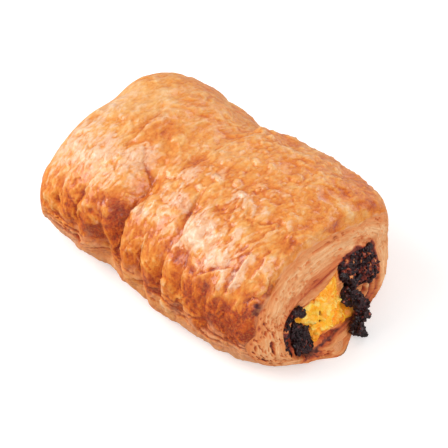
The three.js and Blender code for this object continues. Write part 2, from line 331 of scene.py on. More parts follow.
def blurred(values, times):
    """A grid of values averaged with its four neighbours, again and again."""
    for _ in range(times):
        padded = np.pad(values, 1, mode="edge")
        across = padded[:-2, 1:-1] + padded[2:, 1:-1] + padded[1:-1, :-2] + padded[1:-1, 2:]
        values = (across + 2 * values) / 6
    return values


sample = cloud(np.linspace(0, 40, 4000), 0.3, 0.7)
print("cloud noise runs from", sample.min().round(2), "to", sample.max().round(2))

# %% [markdown]
# ## From a grid of points to a mesh
# Each piece is a stack of closed rings, from its +X end to its -X end, with a pole point that shuts
# each end. Rings give the mesh its order, so that the faces can be written down as whole arrays.
# Values such as how brown the skin is travel with the points as attributes, for the materials.

# %% Build a closed mesh from rings
def carry(mesh, name, values):
    """Lets a mesh's points carry values under a name: single numbers, or vectors of three."""
    kind, field = ("FLOAT_VECTOR", "vector") if values.ndim == 2 else ("FLOAT", "value")
    data = mesh.attributes.new(name, kind, "POINT").data
    data.foreach_set(field, values.ravel().astype(np.float32))


def add_object(name, data):
    """A new object in the scene, of a mesh, a light or a camera."""
    piece = bpy.data.objects.new(name, data)
    bpy.context.scene.collection.objects.link(piece)
    return piece


def tube_mesh(name, rings, first_pole, last_pole, values):
    """A closed, smooth-shaded piece from an array of rings (rings, columns, 3) in millimetres, with
    one attribute for each array in values. A pole takes its value from the ring next to it."""
    count, columns = rings.shape[:2]
    points = np.concatenate([[first_pole], rings.reshape(-1, 3), [last_pole]])
    start, column = np.meshgrid(1 + columns * np.arange(count - 1), np.arange(columns), indexing="ij")
    after = (column + 1) % columns
    corners = [start + column, start + columns + column, start + columns + after, start + after]
    quads = np.stack(corners, axis=-1).reshape(-1, 4)
    column = np.arange(columns)
    after = (column + 1) % columns
    last_ring = 1 + (count - 1) * columns
    first_fan = np.stack([0 * column, 1 + column, 1 + after], axis=-1)
    last_fan = np.stack([0 * column + len(points) - 1, last_ring + after, last_ring + column], axis=-1)
    faces = quads.tolist() + first_fan.tolist() + last_fan.tolist()
    mesh = bpy.data.meshes.new(name)
    mesh.from_pydata(((points + SHIFT) * MM).tolist(), [], faces)
    mesh.polygons.foreach_set("use_smooth", np.ones(len(faces), dtype=bool))
    for key, value in values.items():
        flat = value.reshape(count * columns, *value.shape[2:])
        at_poles = [ring[0] if value.ndim == 3 else ring.mean() for ring in (value[0], value[-1])]
        carry(mesh, key, np.concatenate([[at_poles[0]], flat, [at_poles[1]]]))
    print(name, "has", 2 * len(quads) + 2 * columns, "triangles")
    return add_object(name, mesh)


def place(piece, slot_name, *nodes):
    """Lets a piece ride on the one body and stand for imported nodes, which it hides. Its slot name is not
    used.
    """
    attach(piece, "root")
    if nodes:
        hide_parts(*nodes)
    return piece


# %% [markdown]
# ## Where the crust's columns go
# The crust is seen from the sides and above, and its flat sole hardly at all. Columns that are
# equally long arcs on the seen side, and wider apart underneath, spend the faces where they count.
# The arc from the top, in millimetres, is the second coordinate of all relief on the crust.

# %% Spread the columns by arc length
CRUST_COLUMNS = 336
SEEN_ANGLES = (-38, 218)
SOLE_SHARE = 0.22
MEASURED_AT_X = 22.0


def arc_table():
    """Fine angles round the roll with the arc from the top and the spacing weight at each."""
    angle = np.linspace(-90, 270, 3601)
    ring = skin(np.full_like(angle, MEASURED_AT_X), angle)
    step = np.linalg.norm(np.diff(ring[:, 1:], axis=0), axis=1)
    arc = np.concatenate([[0], np.cumsum(step)])
    seen = (angle[1:] > SEEN_ANGLES[0]) & (angle[1:] < SEEN_ANGLES[1])
    spaced = np.concatenate([[0], np.cumsum(step * np.where(seen, 1, SOLE_SHARE))])
    return angle, arc - np.interp(90, angle, arc), spaced


TABLE_ANGLES, TABLE_ARCS, TABLE_SPACED = arc_table()
even_steps = np.linspace(0, TABLE_SPACED[-1], CRUST_COLUMNS + 1)[:-1]
crust_angles = np.interp(even_steps, TABLE_SPACED, TABLE_ANGLES)
print("arc round the roll", (TABLE_ARCS[-1] - TABLE_ARCS[0]).round(1), "mm")


def arc_of(angle):
    """The arc from the top in millimetres, towards the pleated wall, at an angle."""
    return np.interp((angle + 90) % 360 - 90, TABLE_ANGLES, TABLE_ARCS)


# %% [markdown]
# ## The crust's relief
# A rolled flaky dough bakes into long folds that cross the roll. Over them lie thin layers that
# lift and break in steps, small wrinkles, and blisters where steam lifted the outermost layer. Each
# is its own height in millimetres, and they are added up. The folds and steps are stretched round
# the roll, as the dough was stretched when it was rolled.

# %% Blisters
# Each is an x, an angle, half its length and half its width, and how high it stands.
BLISTERS = (
    (15, 94, 2.6, 1.5, 0.7), (17.5, 80, 1.8, 1.2, 0.55), (22, 66, 1.6, 1.4, 0.6),
    (27, 77, 2.0, 2.3, 0.8), (26, 90, 2.1, 2.4, 0.75), (12, 82, 2.3, 1.1, 0.6), (10, 73, 1.5, 1.0, 0.5),
    (19, 97, 2.4, 1.3, 0.55), (30, 64, 1.4, 1.2, 0.5), (8, 97, 2.6, 1.0, 0.55), (24, 59, 1.2, 1.0, 0.5),
    (33, 86, 1.3, 1.1, 0.4),
)


def blisters(x, arc):
    """Low domes, sqrt(1 - r^2) high, at the named spots, and smaller ones scattered between them.
    The named ones are ovals that lie slanted, at 25 degrees to the roll."""
    height = np.zeros(np.broadcast(x, arc).shape)
    for place_x, turn, long, wide, high in BLISTERS:
        along = (x - place_x) * 0.9 + (arc - arc_of(turn)) * 0.42
        across = (arc - arc_of(turn)) * 0.9 - (x - place_x) * 0.42
        inside = np.maximum(1 - (along / long) ** 2 - (across / wide) ** 2, 0)
        height = np.maximum(height, high * np.sqrt(inside))
    small = 0.42 * np.sqrt(np.maximum(1 - (cells(x / 2.5, arc / 2.9, 0.4) / 0.36) ** 2, 0))
    field = between(-8, 4, 40, 48, x) * smooth(-46, -36, arc) * smooth(14, 2, arc)
    return np.maximum(1.25 * height, small * field)


# %% Lips
# Where one fold lies over the next: x, angle, lean, reach round, height, length behind the lip.
LIPS = (
    (-9.2, 164, -0.02, 34, 1.5, 9), (-6.6, 131, 0.13, 9, 0.9, 5), (11.6, 125, 0.11, 13, 1.3, 14),
    (29.5, 144, -0.5, 9, 0.9, 8), (0.3, 172, 0.02, 20, 0.9, 5), (10.4, 176, -0.03, 22, 1.0, 6),
    (20.4, 168, 0.05, 26, 0.7, 6), (31.0, 168, 0.04, 22, 0.4, 6), (37.0, 136, 0.0, 17, 1.0, 3.4),
    (33.2, 149, 0.0, 8, 0.7, 2.8), (41.8, 122, 0.02, 12, 0.7, 4), (45.0, 150, -0.1, 12, 0.4, 4),
    (-19, 158, 0.12, 17, 0.35, 6), (-29.5, 154, -0.1, 18, 1.0, 7), (-39.5, 162, -0.06, 14, 0.35, 5),
    (-17.5, 111, 0.6, 7, -0.55, 4), (-27.5, 95, 0.16, 10, 0.7, 6), (-35, 128, 0.18, 9, 0.5, 5),
    (-3, 98, -0.2, 10, 0.5, 5), (21, 104, 0.22, 8, 0.5, 5), (36, 112, -0.15, 12, 0.6, 6),
    (-44, 120, 0.1, 14, 0.5, 6), (-38, 8, 0.1, 20, 0.9, 7), (-24, 2, -0.08, 24, 1.1, 8),
    (-9, 10, 0.06, 22, 0.9, 7), (5, 4, 0.1, 22, 1.0, 8), (20, 8, -0.1, 20, 0.9, 7),
    (33, 0, 0.05, 18, 0.8, 7), (-1.5, 76, -0.12, 16, 0.6, 4), (2.5, 64, -0.1, 12, 0.45, 3),
)


def lips(x, angle):
    """Each lip is a sharp step up along a wandering line across the roll. Behind it, towards the near
    end, its height dies away like a bell curve."""
    arc = arc_of(angle)
    wander = 0.9 * noise(arc / 4.5, x / 14, 6.1) + 0.35 * noise(arc / 1.3, x / 5, 2.9)
    height = np.zeros(np.broadcast(x, arc).shape)
    for place_x, turn, lean, reach, high, long in LIPS:
        away = turn_between(angle, turn)
        behind = x - (place_x + lean * away + wander)
        step = high * smooth(-0.25, 0.35, behind) * bell(behind / long)
        height = height + step * bell((away / reach) ** 2)
    return height


# %% Folds, torn layers and the strip above the sole
def folds_and_lumps(x, arc, a, b):
    """Broad folds with sharp crests, soft lumps, most of them low on the far wall, and small knobs
    behind the waist."""
    folded = np.maximum(smooth(-5, 8, arc), smooth(-38, -50, arc))
    folds = (ridge(a / 9, b / 20, 2.2, 2) - 0.55) * (0.4 + 0.6 * folded)
    lumps = 0.55 * cloud(a / 6, b / 8, 4.9, 2)
    lumps = lumps + 0.95 * cloud(x / 4.0, arc / 4.4, 12.4, 2) * bell((x + 27) / 12) * bell((arc - 42) / 9)
    knobs = smooth(0.55, 0.1, cells(x / 4.2, arc / 4.2, 5.5)) * bell((x - 6) / 10) * bell((arc + 26) / 9)
    return folds + lumps + knobs


def torn_layers(x, arc, a, b):
    """Thin layers that rise slowly and break off in steps, wrinkled and finely crumpled."""
    layers = 1.3 * cloud(a / 11, b / 16, 5.4, 3) + 0.12 * noise(a / 2.2, b / 3.2, 1.5)
    step = layers - np.floor(layers)
    torn = smooth(-0.1, 0.35, noise(x / 12, arc / 12, 8.3))
    broken = 0.55 * torn * (step * smooth(1.0, 0.92, step) - 0.45)
    wrinkles = 0.46 * (ridge(a / 3.2, b / 8.0, 7.9, 2) - 0.55)
    wrinkles = wrinkles + 0.26 * (ridge(a / 1.6, b / 3.4, 4.2, 2) - 0.55)
    return broken + wrinkles + 0.15 * cloud(x / 1.2, arc / 1.6, 2.6, 2)


def sole_pits(x, arc):
    """Small pits in the strip above the sole, in mm."""
    some = smooth(0, 0.4, noise(x / 5, arc / 4, 7.2) + 0.15)
    return 0.4 * smooth(0.4, 0.15, cells(x / 1.7, arc / 1.1, 3.3)) * smooth(51, 57, arc) * some


def sole_streaks(x, arc):
    """Thin streaks, from 0 to 1, that run along the strip above the sole."""
    return smooth(0.02, 0.26, cloud(x / 8, arc / 1.5, 2.4, 3)) * bell((arc - 57.5) / 4.0)


def flaky_relief(x, angle):
    """The sum of all heights in mm. The layers are roughest on the shoulders and calmer on top and
    on the wall. Folds and layers lie on drifting coordinates, so that nothing runs straight."""
    arc = arc_of(angle)
    a = x + 2.6 * cloud(x / 14, arc / 14, 3.1)
    b = arc + 2.6 * cloud(x / 14, arc / 14, 9.7)
    shoulder = smooth(2, 12, arc) * (1 - 0.4 * smooth(28, 36, arc))
    shoulder = np.maximum(shoulder, 0.8 * smooth(-38, -50, arc))
    calm_top = smooth(26, 38, x) * smooth(12, 0, arc)
    rough = (0.55 + 0.45 * shoulder) * (1 - 0.15 * calm_top)
    height = folds_and_lumps(x, arc, a, b) - sole_pits(x, arc) - 0.45 * sole_streaks(x, arc)
    return height + rough * torn_layers(x, arc, a, b) + blisters(x, arc) + lips(x, angle)


# %% Points of the crust
NUDGE_X = 0.3
NUDGE_ANGLE = 0.4


def lap(angle):
    """How far, in mm, the browned skin runs on over the near end's shoulder, most of it on top."""
    turn = angle % 360
    rounds = noise(cosine(turn) * 6, sine(turn) * 6, 0.2)
    reach = 2.4 + 2.4 * bell((turn - 70) / 24) + 1.5 * bell((turn - 132) / 16) + 0.7 * rounds
    return reach * smooth(15, 45, turn) * smooth(182, 168, turn)


def crust_base(x, angle):
    """The smooth skin as far as the near edge and, past it, the shoulder of the pale band. There x
    goes on counting millimetres along the surface."""
    edge = edge_x(angle, NEAR)
    past = np.maximum(x - edge, 0)
    first = end_band(0.0 * edge, angle, NEAR)
    rim = end_band(0.0 * edge + 1, angle, NEAR)
    share = past / length_of(rim - first)[..., 0]
    return np.where((past > 0)[..., None], end_band(share, angle, NEAR), skin(np.minimum(x, edge), angle))


def crust_point(x, angle, lift=0.0):
    """A point of the crust, and its relief: the smooth base, moved along its own normal by relief
    and lift. The relief fades out towards the ends' edges and the table."""
    base = crust_base(x, angle)
    along = crust_base(x + NUDGE_X, angle) - crust_base(x - NUDGE_X, angle)
    around = crust_base(x, angle + NUDGE_ANGLE) - crust_base(x, angle - NUDGE_ANGLE)
    normal = unit(np.cross(around, along))
    gap = np.minimum(edge_x(angle, NEAR) + lap(angle) - x, x - edge_x(angle, FAR))
    calm_edge = 0.25 * smooth(-0.5, 1.0, gap) + 0.75 * smooth(0, 3.8, gap)
    off_table = smooth(0.3, 3.5, base[..., 2])
    relief = flaky_relief(x, angle) * calm_edge * off_table
    point = base + normal * (relief + lift)[..., None]
    point[..., 2] = np.maximum(point[..., 2], 0)
    return point, relief


# %% [markdown]
# ## How brown the skin is
# Browning is what the eye reads first. The walls bake darkest and a few spots are scorched. Crests
# and lifted flakes are made paler as painted highlight, and the bottoms of creases browner as
# painted shade, over the real browning; blisters stay pale. Each point gets a browning-and-shading
# value from 0 to 1, worked out from the relief itself, so colour and shape always agree, plus a
# paleness value for the thin, dry patches of skin along the shoulder, which also holds painted
# sheen where the key light mirrors.

# %% Marks on the skin
# Each is an x, an angle, a length, a reach round and a strength. A negative strength lightens.
# Most spots are browning. Those in the creases near x -11 to -18 and near x 10, and the thin ones between
# the pleats near x 35 to 41, are painted shade in those hollows. The lightening spot at x 7 above the sole
# is painted bounce light from the table.
BROWN_SHADE_AND_LIGHT_SPOTS = (
    (5, 181, 3.6, 9, 0.4), (16.5, 187, 2.2, 6, 0.45), (-35, 163, 5, 9, 0.25), (40, 168, 12, 12, 0.6),
    (27, 170, 7, 12, 0.2), (-11.5, 126, 3.0, 10, 0.4), (-12.5, 146, 3.6, 16, 0.42),
    (11.0, 121, 1.7, 7, 0.5), (47.5, 142, 3, 20, 0.25), (45.5, 158, 1.2, 3, 0.6),
    (-15, 160, 6, 14, 0.2), (-24, 174, 9, 10, 0.25), (29, 146, 3.2, 5, 0.3), (-3, 96, 4, 5, 0.22),
    (-20, 88, 5, 4, 0.12), (-28, 97, 1.4, 9, 0.3), (36, 108, 1.6, 6, 0.25), (20, 151, 5, 4, 0.22),
    (-18, 146, 6, 5, 0.2), (44, 100, 3, 9, 0.22), (0, 176, 2, 12, 0.3), (10, 172, 2, 12, 0.2),
    (-12, 180, 4, 12, 0.3), (36.2, 134, 1.0, 13, 0.28), (41.4, 122, 1.0, 10, 0.28),
    (34.6, 120, 1.2, 8, 0.22), (10.4, 130, 1.4, 13, 0.4), (28.5, 184, 5, 2.4, 0.4),
    (41, 183, 4, 2.4, 0.4), (15.5, 184, 2, 3, 0.4), (44, 168, 4, 9, 0.3), (-46, 144, 6, 14, -0.16),
    (-14.5, 114, 1.4, 4, 0.1), (-3, 156, 7, 12, -0.12), (8, 176, 12, 12, -0.12), (7, 191, 12, 8, -0.3),
    (-47, 158, 4, 12, -0.12), (-42, 118, 16, 34, -0.17), (-44, 84, 12, 14, -0.2),
    (24, 140, 12, 10, -0.1), (46.5, 49, 1.8, 6, 0.42), (48.8, 82, 1.9, 5, 0.4), (47, 74, 1.2, 3, 0.25),
    (42, 46, 8, 16, 0.26), (-12.5, 118, 1.8, 5, 0.3), (-22.5, 97, 4, 4, 0.16), (-28, 158, 9, 12, -0.06),
    (-33.5, 94, 2.6, 3, 0.16), (40, 78, 5, 9, 0.06),
)
# The pale patches lie where the key light mirrors on the shoulder and on the pleats' lit sides: painted
# sheen over thin, pale skin.
PALE_AND_SHEEN_PATCHES = (
    (-47, 140, 4, 12, 0.5), (-18.5, 109, 3.4, 6, 0.5), (-44, 77, 4, 6, 0.55), (-26.5, 89, 2.6, 3, 0.4),
    (-34, 121, 12, 15, 0.75), (-19, 112, 7, 12, 0.75), (2.5, 121, 5, 14, 0.8),
    (19.5, 131, 7.5, 13, 0.95), (32, 122, 6, 13, 0.5), (38, 141, 5, 7, 0.75), (-5, 139, 3.2, 4, 0.9),
    (22, 98, 12, 6, 0.5), (-1, 104, 3, 7, 0.55), (6, 96, 4, 3, 0.7), (-46, 98, 6, 22, 0.3),
    (-14, 146, 4, 3, 0.4), (12, 136, 4, 10, 0.5), (38.6, 136, 1.3, 15, 1.0), (34.8, 149, 1.1, 7, 0.9),
    (31.2, 135, 2.2, 5, 0.9), (27.5, 142, 2.2, 5, 0.9), (23.8, 149, 2.2, 5, 0.8),
    (29.5, 115, 1.7, 4, 0.8), (44, 120, 1.2, 12, 0.5), (16, 124, 4, 10, 0.5),
)
# Burnt marks past the crust's edge: mm past it, a length, an angle, a reach round, a strength.
SCORCHES = ((1.6, 0.7, 147, 2.4, 1), (1.9, 0.8, 151.5, 1.6, 0.7), (2.6, 0.9, 131, 6, 0.5))


def painted(spots, x, angle):
    """The sum of soft spots at their places."""
    return sum(
        strength * bell(np.hypot((x - place_x) / long, turn_between(angle, turn) / reach))
        for place_x, turn, long, reach, strength in spots
    )


def scorched(x, angle):
    """The sum of the burnt marks."""
    past = x - edge_x(angle, NEAR)
    return sum(
        strength * bell(np.hypot((past - place) / long, turn_between(angle, turn) / reach))
        for place, long, turn, reach, strength in SCORCHES
    )


def off_waist(x):
    """0 beside the waist, where the wall is drawn in, and 1 farther off on both puffs."""
    return np.maximum(smooth(-20, -28, x), smooth(14, 24, x))


# %% Browning, paleness and glaze
def crust_colours(x, angle, relief, point):
    """Browning, paleness and glaze from 0 to 1. How far the relief stands above or below its own
    average, over a long and over a short reach, tells crests from hollows. Crests are made paler as
    painted highlight and hollows browner as painted shade, and paleness also holds painted sheen."""
    arc = arc_of(angle)
    long_crest = relief - blurred(relief, 90)
    short_crest = relief - blurred(relief, 6)
    mottle = cloud(*(point[..., n] / 9 for n in range(3)), 4)
    grain = cloud(*(point[..., n] / 2.2 for n in range(3)), 3)
    brown_shade_and_light = painted(BROWN_SHADE_AND_LIGHT_SPOTS, x, angle)
    blistered = smooth(0.15, 0.6, blisters(x, arc))
    wall = smooth(27, 37, arc)
    back = smooth(-40, -54, arc)
    browning = 0.36 + 0.21 * wall + 0.14 * back - 0.06 * smooth(54, 64, arc) + 0.15 * mottle + 0.07 * grain
    # Crests are made paler as painted highlight and hollows browner as painted shade, over the real
    # browning.
    browning = browning - (0.28 + 0.12 * wall) * np.clip(long_crest, -0.9, 0.6)
    browning = browning - 0.7 * np.clip(short_crest, -0.2, 0.12)
    browning = browning + 0.5 * np.tanh(brown_shade_and_light / 0.5) * (0.85 + 0.35 * mottle)
    # Beside the waist the streaks above the sole stay lighter: painted bounce light from the table.
    browning = browning + 0.55 * sole_streaks(x, arc) * mix(0.4, 1, off_waist(x)) + 0.12 * blistered
    streaks = cloud((x + 2 * mottle) / 2.0, (arc + 2 * mottle) / 6.5, 1.9, 3)
    # Paleness: thin, dry skin together with painted sheen, at the listed patches, on crests and on
    # blisters.
    pale = painted(PALE_AND_SHEEN_PATCHES, x, angle) * (1 + 0.5 * mottle) + 0.2 * mottle + 0.45 * streaks
    pale = pale + 0.35 * np.clip(long_crest, -0.8, 0.6) + 0.9 * np.clip(short_crest, -0.25, 0.2)
    pale = smooth(0.2, 0.95, pale - 0.9 * brown_shade_and_light) * smooth(-8, 6, arc) * smooth(62, 38, arc)
    pale = np.maximum(pale, 0.15 * blistered)
    glaze = smooth(46, 30, arc) * (0.8 + 0.5 * grain) * (1 - 0.8 * smooth(-0.3, -1.6, long_crest))
    glaze = glaze * (1 - 0.65 * smooth(-4, -24, arc)) * (1 - 0.5 * smooth(-26, -50, x))
    return np.clip(browning, 0, 0.87), np.clip(pale, 0, 1), np.clip(glaze, 0, 1)


def bare_dough(x, arc, angle, edge_gap, unburnt):
    """Where the browned skin thins out to bare dough: at the ends' edges, and above the sole."""
    edge = smooth(0.9, -0.2, edge_gap + 1.1 * cloud(x / 1.3, arc / 4, 4.4, 3))
    edge = edge * (0.3 + 0.7 * smooth(160, 130, angle)) * unburnt
    strip = smooth(52, 61, arc + 6 * cloud(x / 6, arc / 4, 6.6, 4)) * mix(0.55, 1, off_waist(x))
    patchy = 0.75 - 0.7 * sole_streaks(x, arc) + 0.4 * cloud(x / 3, arc / 2, 1.1, 3)
    return np.maximum(edge, strip * patchy)


# %% The crust
# The crust lies a little over the solid dough, by its lift in mm, and is shut at two hidden points
# inside. The rings tucked in under its edges lie so many mm back and so many mm deep.
CRUST_ROWS = 290
CRUST_LIFT = 0.12
CRUST_POLES_X = (34, -38)
TUCKS = ((0, 0.5), (2, 2.4), (5, 3.6))


def tucked_in(edge, side):
    """Rings that roll in under the crust's edge, the deepest one outermost in the stack."""
    rings = [crust_point(edge - side * back, crust_angles, -deep)[0] for back, deep in TUCKS]
    return np.stack(rings[::-1] if side > 0 else rings)


def with_hidden_rings(values, before, after):
    """Values for the rings that lie hidden before and after the rest: those of the ring next door."""
    return {
        key: np.pad(value, [(before, after)] + [(0, 0)] * (value.ndim - 1), mode="edge")
        for key, value in values.items()
    }


def make_crust():
    """The browned skin as one closed piece: rings of relief from the near edge to the far edge, each
    end rolled in under itself and shut deep inside, where the pale end pieces cover it."""
    angle, share = np.meshgrid(crust_angles, np.linspace(0, 1, CRUST_ROWS))
    near_edge = edge_x(angle, NEAR) + lap(angle)
    far_edge = edge_x(angle, FAR)
    x = mix(near_edge, far_edge, share)
    arc = arc_of(angle)
    rings, relief = crust_point(x, angle, CRUST_LIFT)
    browning, pale, glaze = crust_colours(x, angle, relief, rings)
    edge_gap = np.minimum(near_edge - x, x - far_edge)
    browning = browning + 0.05 * smooth(3.0, 0, near_edge - x + cloud(x / 2, arc / 5, 3.8, 3))
    scorch = scorched(x, angle)
    unburnt = 1 - np.clip(1.5 * scorch, 0, 1)
    values = {
        "browning": np.minimum(browning + 0.4 * scorch, 1),
        "pale": pale * unburnt,
        "glaze": glaze * smooth(0, 3, edge_gap) * (1 - np.clip(scorch, 0, 1)),
        "bare": bare_dough(x, arc, angle, edge_gap, unburnt),
        "burnt": np.clip(scorch * (0.9 + 1.6 * cloud(x / 0.9, arc / 0.9, 9.3, 2)), 0, 1),
        "way": np.stack([x, arc, 0 * x], axis=-1),
    }
    rings = np.concatenate([tucked_in(near_edge[0], 1), rings, tucked_in(far_edge[0], -1)])
    poles = [np.array([pole_x, MOUTH["y"], MOUTH["z"]]) for pole_x in CRUST_POLES_X]
    return tube_mesh("crust", rings, *poles, with_hidden_rings(values, len(TUCKS), len(TUCKS)))


crust = place(make_crust(), "pastry", "pastry")

# %% [markdown]
# ## The pale ends
# At an end the knife, or the tear, shows the dough's layers as a pale band round the mouth. The
# band is fine-grained: thin lines run along with the crust's edge, and steam has left flat pores
# between them. Inside the rim the inner layers have baked orange where cream touched them. The
# whole end is one surface over two parameters: the share of the way in, and the angle round.

# %% Where the fillings lie
CREAM = {"y": -3.8, "z": 13.6, "corners": (
    (3.2, 13.8), (3.7, 19.0), (4.9, 24.6), (0.8, 22.6), (-6.6, 20.7), (-12.4, 20.6), (-16.4, 20.8),
    (-17.2, 18.4), (-13.0, 15.8), (-11.6, 12.7), (-13.0, 6.0), (-9.6, 6.8), (-6.6, 8.2), (-3.0, 8.2),
    (0.6, 6.6), (3.2, 5.6), (5.8, 5.4), (8.6, 7.0), (8.0, 10.5),
)}
CHOCOLATE_LEFT = {"y": -16.2, "z": 11.0, "corners": (
    (-12.4, 10.4), (-12.0, 13.4), (-11.4, 14.4), (-13.6, 14.8), (-14.2, 16.6), (-16.4, 18.6),
    (-18.4, 19.0), (-19.6, 17.4), (-19.9, 14.8), (-19.4, 11.6), (-19.6, 8.4), (-20.0, 5.8),
    (-17.6, 4.2), (-15.6, 3.0), (-14.2, 3.0), (-12.7, 5.4), (-12.5, 8.0),
)}
CHOCOLATE_RIGHT = {"y": 14.5, "z": 20.9, "corners": (
    (22.4, 20.6), (21.9, 23.6), (22.2, 25.0), (21.6, 27.6), (18.8, 27.0), (16.6, 27.4), (15.0, 29.2),
    (13.0, 28.9), (10.6, 29.2), (7.6, 29.3), (5.2, 28.8), (6.2, 25.8), (5.7, 23.4), (5.9, 20.8),
    (8.2, 18.3), (10.4, 17.8), (11.8, 16.6), (12.6, 14.2), (13.6, 13.4), (15.4, 14.4), (18.0, 12.7),
    (20.4, 13.2), (22.0, 15.0), (22.8, 17.4),
)}


def outline_radius(shape, turn):
    """The distance in mm from a shape's middle to its outline, straight between the corners, for
    angles in radians: looked up in a finely stepped table."""
    corners = np.array(shape["corners"])
    steps = np.linspace(0, len(corners), 721)[:-1]
    start = steps.astype(int)
    share = (steps - start)[:, None]
    line = mix(corners[start], corners[(start + 1) % len(corners)], share)
    away = line - [shape["y"], shape["z"]]
    at = np.arctan2(away[:, 1], away[:, 0])
    order = np.argsort(at)
    reach = np.hypot(away[:, 0], away[:, 1])[order]
    return np.interp(turn, at[order], reach, period=2 * np.pi)


def outside_of(shape, y, z):
    """How far, in mm, a point lies outside a shape's outline, along the ray from its middle."""
    across = y - shape["y"]
    up = z - shape["z"]
    return np.hypot(across, up) - outline_radius(shape, np.arctan2(up, across))


def outside_chocolate(y, z):
    """How far, in mm, a point lies outside the nearer of the two strands."""
    return np.minimum(outside_of(CHOCOLATE_LEFT, y, z), outside_of(CHOCOLATE_RIGHT, y, z))


right_reach = outline_radius(CHOCOLATE_RIGHT, 0.0)
print("the right strand's outline is", right_reach.round(1), "mm from its middle")

# %% Marks on the inner dough
# Each spot is a y, a z, half a width, half a height and how far it stands out. Lines have corners.
FLAP = ((-9.5, 23.6, 4.6, 1.9, 1.6), (-2.5, 25.2, 5.0, 2.1, 1.9), (3.4, 26.6, 3.0, 1.5, 1.0))
LOWER_LIP = (
    (-9.0, 4.4, 5.0, 1.6, 1.3), (-2.0, 3.6, 5.0, 1.6, 1.4), (3.6, 4.2, 3.0, 1.6, 1.4),
    (16, 9, 5, 2.4, 0.9),
)
HOLLOWS = (
    (11.0, 15.8, 3.3, 2.8, -6.5), (-21.4, 13.4, 1.5, 3.6, -2.6), (-15.3, 19.3, 2.1, 1.5, -2.8),
    (14.7, 11.1, 0.75, 0.6, -1.8), (17.8, 11.4, 0.4, 0.35, -1.0), (16.8, 8.2, 0.4, 0.35, -1.0),
    (-7.0, 21.0, 0.6, 0.45, -1.0),
)
REDDISH = (
    (-9.6, 5.3, 3.2, 1.0, 0.3), (-5.2, 3.8, 2.6, 0.9, 0.35), (-1.0, 1.4, 2.6, 1.1, 0.5),
    (3.8, 1.6, 1.8, 1.6, 0.45), (-12.6, 5.0, 1.4, 1.4, 0.3),
)
SEAMS = (
    ((-12.7, 6.6), (-9.5, 6.6), (-6.1, 6.4), (-3.2, 5.9), (-0.1, 4.8), (2.4, 4.3), (4.4, 4.9)),
    ((-6.0, 7.7), (-3.0, 7.5), (0.4, 6.4)), ((-11.4, 4.8), (-7.6, 4.4), (-3.0, 3.2), (0.6, 1.6)),
    ((-10.0, 2.4), (-5.0, 2.6), (-1.5, 1.2), (1.6, -0.8)),
    ((15.9, 12.4), (14.2, 11.0), (12.5, 10.3)), ((19.0, 12.6), (17.0, 10.0), (14.4, 8.4)),
    ((21.2, 12.6), (19.6, 9.4), (17.0, 6.8)), ((2.0, 24.9), (-4.0, 23.3), (-9.6, 21.8)),
)
CRESTS = (
    ((17.3, 12.6), (16.0, 11.1), (14.6, 10.0), (12.4, 9.3)), ((14.7, 13.3), (13.1, 12.6), (11.8, 12.0)),
    ((20.2, 12.8), (18.4, 9.7), (15.8, 7.4)), ((-5.4, 7.1), (-1.8, 6.7), (1.0, 5.6)),
)


def dent(y, z, spot):
    """A soft oval bump or dent at a spot."""
    place_y, place_z, wide, high, lift = spot
    return lift * bell(np.hypot((y - place_y) / wide, (z - place_z) / high) ** 1.6)


def dents(y, z, spots):
    """The sum of the bumps and dents at some spots."""
    return sum(dent(y, z, spot) for spot in spots)


def off_line(y, z, corners):
    """The distance in mm from points to a line through some corners: the least of the distances to
    its straight parts."""
    least = np.full(y.shape, 99.0)
    for (y0, z0), (y1, z1) in zip(corners, corners[1:]):
        share = ((y - y0) * (y1 - y0) + (z - z0) * (z1 - z0)) / ((y1 - y0) ** 2 + (z1 - z0) ** 2)
        share = np.clip(share, 0, 1)
        least = np.minimum(least, np.hypot(y - mix(y0, y1, share), z - mix(z0, z1, share)))
    return least


def drawn(y, z, lines, waver, width):
    """1 on any of some wavering lines, and near 0 at more than their width in mm away."""
    return np.maximum.reduce([bell((off_line(y, z, line) + waver) / width) for line in lines])


